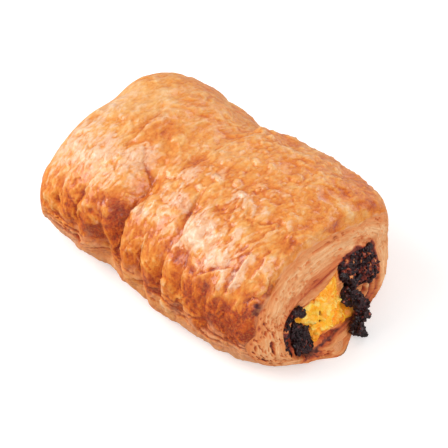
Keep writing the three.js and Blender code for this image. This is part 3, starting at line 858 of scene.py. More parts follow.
# %% The inner dough inside the mouth
def inner_dough(y, z):
    """Height of the inner dough before the face's plane, and how brown, how chocolate-stained and
    darkened by painted shade, and how soaked by the cream it is: a recessed floor with lips, hollows
    and wrinkles, that sinks under each filling. The painted shade lies deep in the burst cavity, in
    the gap beside the left strand and in small holes."""
    wavy = cloud(y / 5, z / 5, 4.1)
    folds = ridge((y + 0.4 * z) / 7, z / 1.6, 6.3, 3)
    near_cream = outside_of(CREAM, y, z)
    near_chocolate = outside_chocolate(y, z)
    sunk = smooth(0.1, -1.4, near_cream) + smooth(0.1, -1.4, near_chocolate)
    crease = drawn(y, z, SEAMS, 0.35 * wavy, 0.4)
    crest = drawn(y, z, CRESTS, 0.25 * wavy, 0.45)
    crack = bell((z - 21.4 + 0.34 * (y + 9)) / 0.3) * between(-13.5, -12, -7.5, -6, y)
    pits = smooth(0.45, 0.15, cells(y / 1.3, z / 0.8, 4.7)) * smooth(8, 5, z)
    height = -RECESS + 0.35 * wavy + 0.55 * (folds - 0.4) + dents(y, z, FLAP + LOWER_LIP + HOLLOWS)
    height = height - 3.5 * np.minimum(sunk, 1) - 0.7 * crease - 0.6 * crack + 0.42 * crest - 0.5 * pits
    # Painted shade: the burst cavity, the gap beside the left strand and the small holes are darkened, and
    # the gap is made browner too.
    cavity_shade = bell(np.hypot((y - 10.8) / 3.4, (z - 15.9) / 2.6) ** 2)
    gap = bell(np.hypot((y + 21.4) / 1.8, (z - 12.6) / 4.6) ** 2)
    blotch = smooth(0.15, 0.5, cloud(y / 2.6, z / 1.3, 8.8, 3) + 0.1)
    reddish = dents(y, z, REDDISH) * (0.8 + 0.8 * wavy)
    low = smooth(9, 5, z)
    small_hole_shade = dents(y, z, [(*spot[:4], 0.8) for spot in HOLLOWS[3:]])
    stain = smooth(0.8, -0.5, near_chocolate + 0.6 * wavy) * smooth(4, 8, z) * (1 - 0.7 * gap)
    stain = stain + 1.6 * cavity_shade + gap * mix(0.75, 0.35, smooth(9, 15, z)) + 0.06 * crease
    stain = stain + small_hole_shade + 0.26 * reddish + 0.17 * blotch * low
    brown = 0.30 + 0.2 * wavy + 0.5 * (0.5 - folds) + 0.4 * crease + 0.6 * crack
    brown = brown + 0.12 * smooth(9, 13, y) * smooth(17, 13, z) + 0.16 * smooth(12, 7, z)
    brown = brown + (0.1 + 0.1 * low) * blotch + 1.2 * reddish - 0.16 * crest + 0.25 * gap
    soaked = smooth(2.8, 0.2, near_cream + 0.8 * wavy + 0.4 * folds)
    brown = brown - 0.16 * smooth(2, -2, z) - 0.3 * soaked * smooth(10, 7, z)
    return height, brown, np.clip(stain, 0, 1), soaked


# %% Pores of the pale band
# Each is an angle, a depth from the crust's edge, a length, a width, and how deep it goes.
PORES = (
    (99, 7.6, 0.95, 0.6, 0.9), (102, 7.3, 0.5, 0.35, 0.5), (105, 7.2, 0.6, 0.4, 0.6),
    (110, 9.0, 0.5, 0.4, 0.7), (114, 9.5, 0.45, 0.35, 0.7), (113, 7.7, 0.6, 0.35, 0.5),
    (116, 7.6, 0.4, 0.3, 0.4), (117, 5.8, 0.7, 0.4, 0.5), (124, 7.4, 0.5, 0.3, 0.5),
    (133, 6.5, 0.45, 0.4, 1.0), (128, 9.5, 0.4, 0.35, 0.5), (96, 9.2, 0.4, 0.3, 0.5),
    (129, 12.1, 0.7, 0.3, 0.4), (135, 10.9, 0.9, 0.35, 0.6), (144, 13.2, 1.8, 0.45, 0.8),
    (165, 9.0, 1.9, 0.45, 0.9), (165, 5.8, 1.7, 0.4, 0.6), (162, 3.6, 1.5, 0.5, 0.6),
    (176, 7.7, 2.3, 0.8, 0.9), (181, 8.0, 0.9, 0.5, 1.0), (193, 3.1, 1.5, 0.6, 1.0),
    (177, 1.4, 1.2, 0.4, 0.5), (92, 5.9, 0.5, 0.4, 0.6), (87, 6.5, 0.4, 0.3, 0.5),
    (85, 7.8, 0.4, 0.3, 0.5), (152, 8.2, 1.2, 0.35, 0.5), (156, 11.0, 1.0, 0.3, 0.4),
    (60, 8.0, 0.6, 0.3, 0.5), (48, 9.0, 0.5, 0.3, 0.4), (205, 5.0, 1.4, 0.5, 0.7),
    (187, 10.5, 0.8, 0.4, 0.6), (170, 11.5, 0.9, 0.3, 0.4),
)


def pores(angle, a, b, deep):
    """Dimples from 0 to 1: sharp-edged ovals at the named spots, and small ones scattered between
    them, longer round the band than across it and more of them on its lower side."""
    height = np.zeros(deep.shape)
    wobble = 0.25 * noise(a / 0.7, b / 0.7, deep / 0.7)
    for turn, place_deep, long, wide, strength in PORES:
        oval = np.hypot(turn_between(angle, turn) * 0.5 / long, (deep - place_deep) / (1.15 * wide))
        height = np.maximum(height, strength * smooth(1.25, 0.5, oval + wobble))
    low_side = smooth(132, 150, angle) * mix(0.5, 1, smooth(215, 200, angle)) * smooth(312, 300, angle)
    many = smooth(0.0, 0.5, noise(a / 6, b / 6, deep / 3.5) + 0.1 + 0.5 * low_side)
    few = smooth(0.1, 0.5, noise(a / 4, b / 4, deep / 3 + 9) + 0.15)
    long_ones = 0.9 * many * smooth(0.4, 0.24, cells(a / 2.0, b / 2.0, deep / 0.85))
    round_ones = 0.75 * few * smooth(0.42, 0.2, cells(a / 1.4, b / 1.4, deep / 1.0 + 7))
    return np.maximum(height, np.maximum(long_ones, round_ones))


# %% The pale band's relief and colour
RING_RADIUS = 25


def pale_band(share, angle, deep, covered):
    """The band's height and browning, a soft mottle, its lower side and the way along its layers.
    Its pattern is noise over a ring of a fixed radius and the depth in mm from the crust's edge, and
    it starts where the crust stops covering it."""
    a = RING_RADIUS * cosine(angle)
    b = RING_RADIUS * sine(angle)
    waver = 0.6 * cloud(a / 14, b / 14, deep / 8, 2)
    lines = ridge(a / 16, b / 16, (deep + waver) / 1.15, 3) - 0.55
    fine = 0.13 * cloud(a / 2.0, b / 2.0, deep / 0.8, 2)
    swell = 0.55 * cloud(a / 9, b / 9, deep / 6, 3)
    pleat = ridge(a / 9, b / 9, deep / 2.2 + 5, 2) - 0.5
    mottle = cloud(a / 7, b / 7, deep / 4, 3)
    uncovered = smooth(covered + 0.1, covered + 1.2, deep) * smooth(1.0, 0.93, share)
    pit = pores(angle, a, b, deep + 0.5 * waver) * uncovered
    lower = between(222, 236, 290, 305, angle)
    left = between(140, 160, 200, 215, angle)
    height = uncovered * (0.5 * lines + fine - 1.2 * pit + swell + 0.5 * lower * pleat)
    outer = smooth(4.5, 0, deep - covered + 2.0 * cloud(a / 5, b / 5, deep / 1.6, 3))
    brown = 0.10 + 0.10 * mottle + 0.07 * left - 0.2 * lines * uncovered + (0.5 + 0.35 * left) * pit
    brown = brown - 0.3 * fine + 0.26 * outer + 0.10 * smooth(0.7, 1.0, share)
    brown = brown + lower * (0.26 * smooth(0.2, 0.8, share) - 0.3 * pleat)
    brown = brown + 0.3 * lower * smooth(0.02, 0.4, cloud(a / 3, b / 3, deep / 1.3 + 3, 3))
    return height, brown, mottle, lower, np.stack([a, b, deep + waver], axis=-1)


# %% An end's whole surface
def end_surface(share, angle, end):
    """An end's points and values. Shares from 0 to 1 cross the band, and shares from 1 to 2 run on
    from the mouth's rim to its middle. Where the crust laps over the shoulder, the dough lies 0.9 mm
    lower, and elsewhere its first rings are welded to the crust's edge."""
    band_share = np.clip(share, 0, 1)
    inner_share = np.clip(share - 1, 0, 1)
    base = end_band(band_share, angle, end)
    rim = end_band(np.ones_like(share), angle, end)
    first = end_band(np.zeros_like(share), angle, end)
    edge, _ = crust_point(edge_x(angle, end), angle)
    covered = lap(angle) if end is NEAR else np.zeros_like(angle)
    weld = (1 - smooth(0, 0.35, share)) * (covered < 0.05)
    base = base + (edge - first) * weld[..., None]
    deep = band_share * length_of(rim - first)[..., 0]
    y = mix(base[..., 1], MOUTH["y"], inner_share)
    z = mix(base[..., 2], MOUTH["z"], inner_share)
    band_height, brown, mottle, lower, way = pale_band(band_share, angle, deep, covered)
    floor, inner_brown, stain, soaked = inner_dough(y, z)
    into = smooth(1.0, 1.09, share)
    lip = 0.5 * bell((share - 0.97) / 0.06)
    under = smooth(covered + 0.1, covered - 0.7, deep) * smooth(0, 0.5, covered)
    height = mix(band_height + lip, floor, into) - 0.9 * under
    x = np.where(inner_share > 0, face_x(z, end), base[..., 0]) + end["side"] * height
    top = between(0, 30, 130, 170, angle)
    uneven = 0.7 + 0.3 * noise(way[..., 0] / 6, way[..., 1] / 6, 0.9)
    # Painted shadow: a dark line along the mouth's rim, wider on top, is added to the browning and to the
    # stain.
    rim_shadow_line = bell((share - 1.03) / mix(0.03, 0.05, top)) * uneven
    reddened = smooth(0.62, 1.02, band_share + 0.25 * mottle) * np.maximum(top, lower)
    brown = mix(brown + 0.2 * reddened, inner_brown, into) + 0.5 * rim_shadow_line
    # Round the chocolate strands the dough is darkened by chocolate stain and by painted shade.
    stain_and_shade_halo = smooth(1.0, -0.2, outside_chocolate(y, z) + 0.7 * mottle)
    stain_and_shade_halo = 0.65 * stain_and_shade_halo * (1 - into) * smooth(6, 11, z)
    scorch = bell(np.hypot(turn_between(angle, 147) * 0.45 / 1.6, (deep - 2.2) / 1.0)) * (end is NEAR)
    stain = mix(stain_and_shade_halo + 0.14 * reddened, stain, into) + 0.8 * scorch + 0.5 * rim_shadow_line * top
    values = {"browning": np.clip(brown, 0, 1), "stain": np.clip(stain, 0, 1), "soaked": soaked * into}
    values["way"] = way + np.stack([0 * share, 0 * share, 20 * inner_share], axis=-1)
    return np.stack([x, y, np.maximum(z, 0)], axis=-1), values


# %% The two ends
HIDDEN_RINGS = ((3.5, 3.0), (1.3, 0.9))


def make_end(name, end, columns, band_rows, mouth_rows):
    """One end as a closed piece: two rings hidden behind the crust's edge, so many mm back and so
    many deep, then the surface. Columns are spread evenly along the crust's edge, and rows crowd
    together behind the mouth's rim."""
    ring_angles = np.linspace(0, 360, 721)
    ring = end_band(np.zeros(721), ring_angles, end)
    travelled = np.concatenate([[0], np.cumsum(np.linalg.norm(np.diff(ring[:, 1:], axis=0), axis=1))])
    columns_at = np.interp(np.linspace(0, travelled[-1], columns + 1)[:-1], travelled, ring_angles)
    band_shares = np.linspace(0, 1, band_rows, endpoint=False)
    mouth_shares = 1 + np.linspace(0, 0.97, mouth_rows) ** 1.15
    angle, share = np.meshgrid(columns_at, np.concatenate([band_shares, mouth_shares]))
    rings, values = end_surface(share, angle, end)
    edge = edge_x(columns_at, end)
    hidden = [
        crust_point(edge - back * end["side"], columns_at, -deep)[0] for back, deep in HIDDEN_RINGS
    ]
    rings = np.concatenate([np.stack(hidden), rings])
    values = with_hidden_rings(values, len(hidden), 0)
    back_pole = np.array([end["side"] * 36, MOUTH["y"], MOUTH["z"]])
    front_pole = rings[-1].mean(axis=0)
    if end["side"] > 0:
        values = {key: value[::-1] for key, value in values.items()}
        return tube_mesh(name, rings[::-1], front_pole, back_pole, values)
    return tube_mesh(name, rings, back_pole, front_pole, values)


near_end = make_end("near_end_dough", NEAR, columns=520, band_rows=56, mouth_rows=74)
near_end = place(near_end, "pastry", "pastry")
far_end = make_end("far_end_dough", FAR, columns=300, band_rows=32, mouth_rows=40)
far_end = place(far_end, "pastry", "pastry")

# %% [markdown]
# ## The fillings
# Two strands of chocolate and one of cream run the whole length of the roll. Inside they are plain,
# and only their end faces are seen, so the rings are crowded there. The cream is a set custard with
# a spongy, pitted face. The chocolate has baked into a coarse crumb, so it is covered with cells of
# two sizes, and loose grains lie on it.

# %% One strand with two detailed faces
def roughened(face, side, rough, shape):
    """A face pushed outwards by a height over x, y and z, and that height: straight out at its
    middle, and sideways at its rim, away from the strand's own middle line."""
    out = (face - [0, shape["y"], shape["z"]]) * [0, 1, 1]
    far = length_of(out)
    share = far / np.maximum(far - outside_of(shape, face[..., 1], face[..., 2])[..., None], 0.1)
    ahead = np.array([side, 0, 0]) * (1.05 - smooth(0.6, 1.1, share))
    sideways = out / np.maximum(far, 1e-6) * smooth(0.5, 1.0, share)
    relief = rough(face[..., 0], face[..., 1], face[..., 2])
    return face + (ahead + sideways) * relief[..., None], relief


def strand(shape, near_height, far_height, rough, ragged, columns, face_rows, side_rows):
    """A strand's rings from pole to pole, and their relief: near face, sides, far face. Each face
    lies on its end's plane plus a height, is rounded over at its rim like a quarter circle, and is
    roughened. The sides are plain, and their rings crowd together behind both faces."""
    turns = np.linspace(-np.pi, np.pi, columns, endpoint=False)
    turn, share = np.meshgrid(turns, np.linspace(0, 1, face_rows + 1)[1:])
    wavy = 1 + ragged * cloud(np.cos(turn) * 4, np.sin(turn) * 4, shape["y"], 4)
    reach = outline_radius(shape, turn) * share * wavy
    y = shape["y"] + reach * np.cos(turn)
    z = shape["z"] + reach * np.sin(turn)
    rolled = 2.2 * (1 - np.sqrt(np.maximum(1 - share ** 6, 0)))
    near = np.stack([face_x(z, NEAR) + (near_height(y, z) - rolled), y, z], axis=-1)
    far = np.stack([face_x(z, FAR) - (far_height(y, z) - rolled), y, z], axis=-1)
    steps = np.linspace(0, 1, side_rows + 2)[1:-1, None, None]
    sides = mix(near[-1], far[-1], smooth(0, 1, steps))
    near, near_relief = roughened(near, 1, rough, shape)
    far, far_relief = roughened(far, -1, rough, shape)
    relief = np.concatenate([near_relief, np.zeros(sides.shape[:2]), far_relief[::-1]])
    return np.concatenate([near, sides, far[::-1]]), relief


# %% The cream
# Each spot is a y, a z, half a width, half a height and how far it stands out, or how strong it is.
CREAM_DENTS = (
    (-7.2, 17.3, 0.5, 0.8, -1.0), (-7.9, 14.6, 0.4, 0.5, -0.8), (2.0, 9.4, 0.6, 0.6, -0.7),
    (-15.4, 19.4, 2.0, 1.5, -3.0), (5.6, 11.4, 2.6, 2.4, -2.6), (3.9, 18.6, 1.2, 2.6, -0.9),
    (-3.5, 12.5, 6.0, 5.0, 1.3), (-9.0, 16.5, 3.0, 3.0, 0.8), (6.6, 7.6, 1.6, 1.4, 0.7),
)
# Lumps that catch the light, made bright as painted highlights.
PAINTED_HIGHLIGHT_LUMPS = (
    (-4.5, 20.2, 1.2, 0.8, 0.8), (-7.2, 20.0, 1.1, 0.8, 0.7), (-10.7, 20.2, 1.4, 0.8, 0.8),
    (-3.4, 16.0, 1.3, 1.0, 0.8), (-12.4, 18.4, 1.0, 1.0, 0.8), (-11.7, 15.9, 0.9, 1.2, 0.8),
    (-2.2, 12.6, 1.3, 0.7, 0.4),
)
# Pockets under the chocolate, darkened as painted shade.
SHADED_CREAM_POCKETS = ((-15.4, 19.4, 2.0, 1.5, 0.7), (5.0, 10.2, 2.2, 1.3, 0.6))
AMBER_SPOT = (0.3, 18.4, 0.6, 0.5, 0.7)


def cream_height(y, z):
    """The cream's face: gently lumpy, higher in its middle, with a few holes."""
    return 0.8 * cloud(y / 4.5, z / 4.5, 2.2, 2) + dents(y, z, CREAM_DENTS)


def spongy(x, y, z):
    """Small bumps with sharp pits between them, like a set custard that has been torn."""
    blobs = cells(x / 2.3, y / 2.3, z / 2.3)
    beads = cells(x / 0.9, y / 0.9, z / 0.9)
    torn = ridge(x / 2.6, y / 2.6, z / 2.6, 2) - 0.5
    return 1.7 * (0.5 - blobs) + 0.55 * (0.5 - beads) + 0.9 * torn


def make_cream():
    """The cream strand. Its points carry how orange it is, as painted shade in hollows and where it
    has browned, where deep holes and pockets lie in painted shade, and where a lump carries a
    painted highlight."""
    rings, relief = strand(
        CREAM, cream_height, cream_height, spongy, ragged=0.05, columns=330, face_rows=80, side_rows=10,
    )
    y = rings[..., 1]
    z = rings[..., 2]
    browned = smooth(12.0, 7.5, z + 0.1 * y) + 0.9 * smooth(3.6, 5.6, y) * smooth(14, 11, z)
    browned = browned + smooth(-13.4, -14.6, y)
    # Painted shade: hollows in the cream turn deeper orange.
    hollow_shade = smooth(0.1, -0.9, relief) + 0.3 * cloud(y / 3.4, z / 3.4, 1.3, 2)
    amber = smooth(-0.05, 0.3, cloud(y / 5.0, z / 5.0, 1.3, 2))
    orange = 0.35 * browned + 0.35 * amber + 0.35 * hollow_shade + dent(y, z, AMBER_SPOT)
    # Painted shade: the three small holes and the two pockets are darkened.
    shaded_holes = dents(y, z, [(*spot[:4], 1.0) for spot in CREAM_DENTS[:3]])
    # Painted highlight: crests and the listed lumps are brightened.
    bright = smooth(0.15, 0.9, relief + dents(y, z, PAINTED_HIGHLIGHT_LUMPS)) * (1 - 0.7 * browned)
    values = {"orange": orange, "hole": 2.5 * shaded_holes - 0.4 + dents(y, z, SHADED_CREAM_POCKETS), "bright": bright}
    values = {key: np.clip(value, 0, 1) for key, value in values.items()}
    poles = rings[0].mean(axis=0), rings[-1].mean(axis=0)
    return tube_mesh("cream_filling", rings, *poles, values)


cream = place(make_cream(), "cream", "cream")

# %% Marks on the chocolate strands
# Lumps stand out from the near faces, and red spots are places where the reddish skin shows.
LEFT_LUMPS = (
    (-15.8, 12.6, 3.2, 6.0, 1.7), (-18.8, 18.2, 1.8, 1.4, 0.6), (-14.0, 8.0, 2.0, 2.6, 0.6),
    (-16.8, 5.4, 2.6, 1.4, -0.8),
)
RIGHT_LUMPS = (
    (9.4, 26.0, 3.0, 2.2, 1.7), (8.6, 21.2, 2.6, 2.4, 2.0), (17.6, 16.2, 3.4, 2.6, 1.8),
    (18.4, 24.4, 2.2, 1.8, 1.2), (13.9, 22.6, 1.4, 2.6, -1.6), (12.6, 17.8, 2.2, 1.6, -2.4),
    (20.6, 20.2, 1.8, 2.4, 1.2), (14.6, 25.6, 1.8, 1.2, -0.8), (14.6, 19.4, 1.8, 1.2, 1.0),
    (15.9, 23.2, 0.6, 0.7, -1.6), (14.7, 17.2, 1.0, 0.6, -1.0),
)
RED_SPOTS = (
    (13.9, 23.7, 0.7, 1.3, 0.6), (17.9, 19.9, 1.1, 0.8, 0.55), (16.5, 25.3, 1.2, 0.6, 0.4),
    (13.7, 26.8, 1.2, 0.5, 0.4), (7.6, 28.6, 1.6, 0.5, 0.4), (8.7, 21.3, 0.5, 1.0, 0.5),
    (10.4, 18.4, 1.6, 0.6, 0.45), (7.0, 20.4, 0.6, 1.2, 0.4), (21.0, 14.3, 0.8, 1.2, 0.5),
    (19.0, 13.8, 1.2, 0.8, 0.5), (15.4, 19.8, 0.6, 0.5, 0.4), (21.2, 23.3, 0.5, 0.4, 0.9),
    (19.0, 23.9, 0.6, 0.3, 0.9), (8.2, 21.7, 0.25, 0.35, 0.8), (11.8, 20.4, 0.4, 0.35, 0.6),
)


# %% The two chocolate strands
def crumbly(x, y, z, coarse=1.0):
    """Height of packed crumbs: each cell is a small dome round its point, at two sizes."""
    big = cells(x / 2.1, y / 2.1, z / 2.1)
    small = cells(x / 0.85, y / 0.85, z / 0.85)
    return coarse * (1.5 * (0.5 - big) + 1.2 * (0.5 - small))


def left_height(y, z):
    """The left strand's face: one tall lump that leans over its lower end."""
    return -0.2 + dents(y, z, LEFT_LUMPS)


def right_height(y, z):
    """The right strand's face: crusty lumps with gaps between, over the hollow of the chunk."""
    return 0.1 + dents(y, z, RIGHT_LUMPS)


def plain_height(y, z):
    """A face with no marked lumps, for the far end."""
    return 1.0 + 0.5 * cloud(y / 4, z / 4, 8.1, 2)


def crumb_tone_and_shade(x, y, z, relief, red_share):
    """From 0 in the black hollows, painted shade, over 0.35 on the lighter crests, painted highlight, to
    0.95 where a reddish skin shows.
    """
    patch = noise(x / 2.6, y / 2.6, z / 2.6) + 0.2 * noise(x / 0.9, y / 0.9, z / 0.9)
    skin_share = smooth(0.1, 0.4, patch + red_share - 0.25 * relief)
    bright = 0.55 + 0.4 * smooth(0.0, 0.5, noise(x / 1.9, y / 1.9, z / 1.9 + 4))
    # Painted shade and highlight: black hollows and lighter crests, from the relief.
    return np.maximum(0.35 * smooth(-0.3, 0.5, relief), bright * skin_share)


def make_chocolate(name, shape, near_height, red_share):
    """A chocolate strand. Its points carry how much reddish skin sits between its crumbs, and its painted
    shade and highlight.
    """
    rings, relief = strand(
        shape, near_height, plain_height, crumbly, ragged=0.09, columns=250, face_rows=74, side_rows=8,
    )
    x, y, z = (rings[..., n] for n in range(3))
    red = crumb_tone_and_shade(x, y, z, relief, red_share)
    red = red + smooth(40, 45, x) * (dents(y, z, RED_SPOTS) + 0.3 * smooth(19.5, 22.0, y))
    poles = rings[0].mean(axis=0), rings[-1].mean(axis=0)
    return tube_mesh(name, rings, *poles, {"red_skin": np.clip(red, 0, 1)})


left_chocolate = make_chocolate("left_chocolate", CHOCOLATE_LEFT, left_height, red_share=-0.25)
left_chocolate = place(left_chocolate, "chocolate", "chocolate_left")
right_chocolate = make_chocolate("right_chocolate", CHOCOLATE_RIGHT, right_height, red_share=0.25)
right_chocolate = place(right_chocolate, "chocolate", "chocolate_right")

# %% [markdown]
# ## The burst chunk and the torn rim
# The chunk is a lumpy finger of chocolate that hangs from the right-hand strand over the lower lip,
# with short spurs at its sides. A thinner string of crumbs is left along the mouth's left rim, where
# the strand has shrunk away from the dough, and a thread of cream has curled up below the cream. All
# are a round profile carried along a path through a few points, with a radius that changes on the
# way, and with the same crumbly relief pushed out of it.

# %% Paths of the chunk, the spurs, the rim and the curl
# Each point is an x, a y, a z and a radius.
CHUNK = (
    (51.0, 5.4, 15.8, 2.4), (53.6, 6.6, 14.4, 2.9), (56.0, 8.0, 12.9, 2.7), (58.0, 8.5, 10.8, 2.3),
    (59.2, 7.8, 8.4, 1.9), (59.8, 5.4, 6.6, 1.8), (60.3, 4.2, 4.7, 2.0), (60.9, 3.9, 2.8, 1.5),
)
SPURS = (
    ((51.4, 15.0, 17.6, 1.5), (51.9, 12.8, 16.2, 1.7), (52.2, 10.2, 15.6, 1.9), (52.4, 8.2, 15.2, 1.6)),
    ((50.6, 17.4, 25.2, 1.3), (51.6, 19.2, 26.8, 1.1), (51.9, 20.2, 27.8, 0.5)),
    ((58.2, 8.2, 10.4, 1.5), (59.2, 9.2, 8.4, 1.6), (59.9, 10.2, 6.6, 1.1), (60.2, 10.9, 5.6, 0.5)),
    ((60.2, 4.6, 4.6, 1.5), (61.2, 5.4, 3.0, 1.5), (62.0, 6.2, 1.9, 1.1), (62.6, 6.9, 1.0, 0.5)),
    ((57.6, 9.6, 9.6, 0.6), (58.2, 10.8, 8.9, 0.35), (58.4, 11.6, 8.6, 0.6)),
)
RIM_CRUMBS = (
    (54.4, -20.2, 6.6, 0.8), (54.0, -22.2, 9.4, 0.8), (53.8, -23.3, 11.8, 0.9),
    (53.6, -23.7, 14.4, 0.6), (53.0, -23.2, 17.2, 1.0), (52.3, -21.6, 20.0, 0.9),
    (51.8, -19.4, 22.0, 1.0), (51.8, -16.6, 23.4, 1.4), (52.2, -14.2, 22.0, 1.4),
    (52.4, -13.3, 20.2, 0.8),
)
CURL = (
    (55.4, 1.9, 11.2, 0.12), (55.6, 2.4, 10.3, 0.2), (56.0, 2.7, 9.0, 0.22), (56.3, 2.1, 7.9, 0.2),
    (56.2, 0.8, 7.8, 0.12),
)


def smooth_path(points, share):
    """A curve through all the points: a cubic blend of each four neighbours (Catmull-Rom)."""
    points = np.array(points)
    points = np.concatenate([[2 * points[0] - points[1]], points, [2 * points[-1] - points[-2]]])
    along = np.clip(share * (len(points) - 3), 0, len(points) - 3 - 1e-6)
    start = along.astype(int)
    t = (along - start)[:, None]
    a, b, c, d = (points[start + n] for n in range(4))
    bend = 2 * a - 5 * b + 4 * c - d
    return 0.5 * (2 * b + (c - a) * t + bend * t ** 2 + (3 * b - a - 3 * c + d) * t ** 3)


# %% The chunk, the spurs, the rim and the curl
def make_crumb_string(name, path, rows, columns, lumpy, crumbs, red_share=-0.25):
    """Rings square to a path, rounded at both ends, with lumps and crumbs pushed out of them, which
    shrink where the string is thinner than 1.2 mm."""
    share = np.linspace(0, 1, rows)
    path = smooth_path(path, share)
    middle = path[:, :3]
    radius = path[:, 3] * np.sqrt(np.clip(1 - np.abs(2 * share - 1) ** 14, 0.0004, 1))
    ahead = unit(np.gradient(middle, axis=0))
    side = unit(np.cross(ahead, [1.0, 0.1, 0.3]))
    front = np.cross(side, ahead)
    turn = np.linspace(0, 360, columns, endpoint=False)[None, :, None]
    out = side[:, None] * cosine(turn) + front[:, None] * sine(turn)
    bare = middle[:, None] + out * radius[:, None, None]
    x, y, z = (bare[..., n] for n in range(3))
    height = lumpy * cloud(x / 3.2, y / 3.2, z / 3.2, 3) + crumbly(x, y, z, crumbs)
    tapered = np.clip(radius / 1.2, 0, 1)[:, None]
    rings = bare + out * (height * tapered)[..., None]
    rings[..., 2] = np.maximum(rings[..., 2], 0.15)
    x, y, z = (rings[..., n] for n in range(3))
    red = crumb_tone_and_shade(x, y, z, height, red_share)
    return tube_mesh(name, rings, middle[0], middle[-1], {"red_skin": red})


chunk = make_crumb_string("burst_chunk", CHUNK, rows=190, columns=120, lumpy=0.9, crumbs=0.8)
chunk = place(chunk, "chocolate", "chocolate_right")
spurs = []
for n, path in enumerate(SPURS):
    spur = make_crumb_string(f"chunk_spur_{n}", path, rows=60, columns=60, lumpy=0.4, crumbs=0.6)
    spurs.append(place(spur, "chocolate", "chocolate_right"))
rim_crumbs = make_crumb_string(
    "rim_crumbs", RIM_CRUMBS, rows=190, columns=60, lumpy=0.6, crumbs=0.8, red_share=0.15,
)
rim_crumbs = place(rim_crumbs, "chocolate", "chocolate_left")
curl = make_crumb_string("cream_curl", CURL, rows=60, columns=20, lumpy=0.05, crumbs=0.06)
curl = place(curl, "cream", "cream")

# %% [markdown]
# ## Loose grains of chocolate
# Grains break off the baked chocolate and cling to it, and so do some larger crumbs. Each is a ball
# of only twenty faces, pulled out of shape, turned and set on a point of the chocolate. All the
# grains are one joined mesh, built from arrays, so that hundreds cost little, and all the crumbs are
# another.

# %% Grains as one joined mesh
def ball_of_twenty():
    """The twelve corners and twenty faces of an icosahedron, from the golden ratio."""
    gold = (1 + 5 ** 0.5) / 2
    corners = np.array([
        (-1, gold, 0), (1, gold, 0), (-1, -gold, 0), (1, -gold, 0), (0, -1, gold), (0, 1, gold),
        (0, -1, -gold), (0, 1, -gold), (gold, 0, -1), (gold, 0, 1), (-gold, 0, -1), (-gold, 0, 1),
    ])
    faces = np.array([
        (0, 11, 5), (0, 5, 1), (0, 1, 7), (0, 7, 10), (0, 10, 11), (1, 5, 9), (5, 11, 4), (11, 10, 2),
        (10, 7, 6), (7, 1, 8), (3, 9, 4), (3, 4, 2), (3, 2, 6), (3, 6, 8), (3, 8, 9), (4, 9, 5),
        (2, 4, 11), (6, 2, 10), (8, 6, 7), (9, 8, 1),
    ])
    return unit(corners), faces


def turned(count):
    """Random turns as an array of 3 x 3 matrices, from random directions made square to each other."""
    frames, _ = np.linalg.qr(RANDOM.normal(size=(count, 3, 3)))
    return frames * np.sign(np.linalg.det(frames))[:, None, None]


def make_grains(name, spots, smallest, largest):
    """One joined mesh of grains at the given spots in metres, with sizes in mm."""
    corners, faces = ball_of_twenty()
    count = len(spots)
    size = RANDOM.uniform(smallest, largest, (count, 1, 1)) * RANDOM.uniform(0.6, 1.2, (count, 1, 3)) / 2
    dented = corners[None] * RANDOM.uniform(0.7, 1.25, (count, 12, 1)) * size
    points = np.einsum("nij,nkj->nki", turned(count), dented) * MM + spots[:, None]
    points[..., 2] = np.maximum(points[..., 2], 0.0001)
    mesh = bpy.data.meshes.new(name)
    all_faces = (faces[None] + 12 * np.arange(count)[:, None, None]).reshape(-1, 3)
    mesh.from_pydata(points.reshape(-1, 3).tolist(), [], all_faces.tolist())
    red = 0.3 * RANDOM.random(count) + 0.6 * RANDOM.random(count) ** 9
    carry(mesh, "red_skin", np.repeat(red, 12))
    print(name, "are", count, "with", len(all_faces), "triangles")
    return add_object(name, mesh)


# %% Scatter the grains and crumbs
def spots_on(piece, count, farther_than_x, shape=None):
    """Random points of a piece's mesh that lie further along the roll than x in mm, as points in
    metres. With a shape, they keep to the outermost millimetre of its outline."""
    points = np.empty(len(piece.data.vertices) * 3, dtype=np.float32)
    piece.data.vertices.foreach_get("co", points)
    points = points.reshape(-1, 3)
    points = points[points[:, 0] > farther_than_x * MM]
    if shape is not None:
        points = points[outside_of(shape, points[:, 1] / MM, points[:, 2] / MM) > -1]
    return points[RANDOM.integers(0, len(points), count)]


grain_spots = np.concatenate([
    spots_on(left_chocolate, 160, 46),
    spots_on(right_chocolate, 260, 44),
    spots_on(chunk, 340, 48),
    spots_on(rim_crumbs, 140, 44),
])
grains = make_grains("chocolate_grains", grain_spots, smallest=0.4, largest=1.1)
grains = place(grains, "chocolate")
crumb_spots = np.concatenate([
    spots_on(right_chocolate, 110, 46, CHOCOLATE_RIGHT),
    spots_on(right_chocolate, 60, 46),
    spots_on(chunk, 50, 50),
    spots_on(rim_crumbs, 60, 44),
    spots_on(left_chocolate, 50, 46, CHOCOLATE_LEFT),
])
crumbs = make_grains("chocolate_crumbs", crumb_spots, smallest=1.0, largest=1.9)
crumbs = place(crumbs, "chocolate")

# %% [markdown]
# ## Finishes
# Colours are given as they look on a screen and turned into the linear values that a shader works
# with. Three effects are used by several finishes, so each is a node group: a fine grain that gives
# a height for the Bump node, a speckle that mixes a second colour into the first, and a crackle of
# thin lines.

# %% Helpers for node trees
def screen(red, green, blue):
    """A linear colour from screen values of 0 to 255."""
    share = np.array([red, green, blue]) / 255
    linear = np.where(share <= 0.04045, share / 12.92, ((share + 0.055) / 1.055) ** 2.4)
    return (*linear.tolist(), 1.0)


def set_inputs(tree, node, values):
    """Links a node's inputs to sockets, or sets them to plain values."""
    for key, value in dict(values).items():
        if isinstance(value, bpy.types.NodeSocket):
            tree.links.new(value, node.inputs[key])
        else:
            node.inputs[key].default_value = value


def add_node(tree, kind, inputs=(), **settings):
    """A new node with settings and inputs."""
    node = tree.nodes.new(kind)
    for key, value in settings.items():
        setattr(node, key, value)
    set_inputs(tree, node, inputs)
    return node


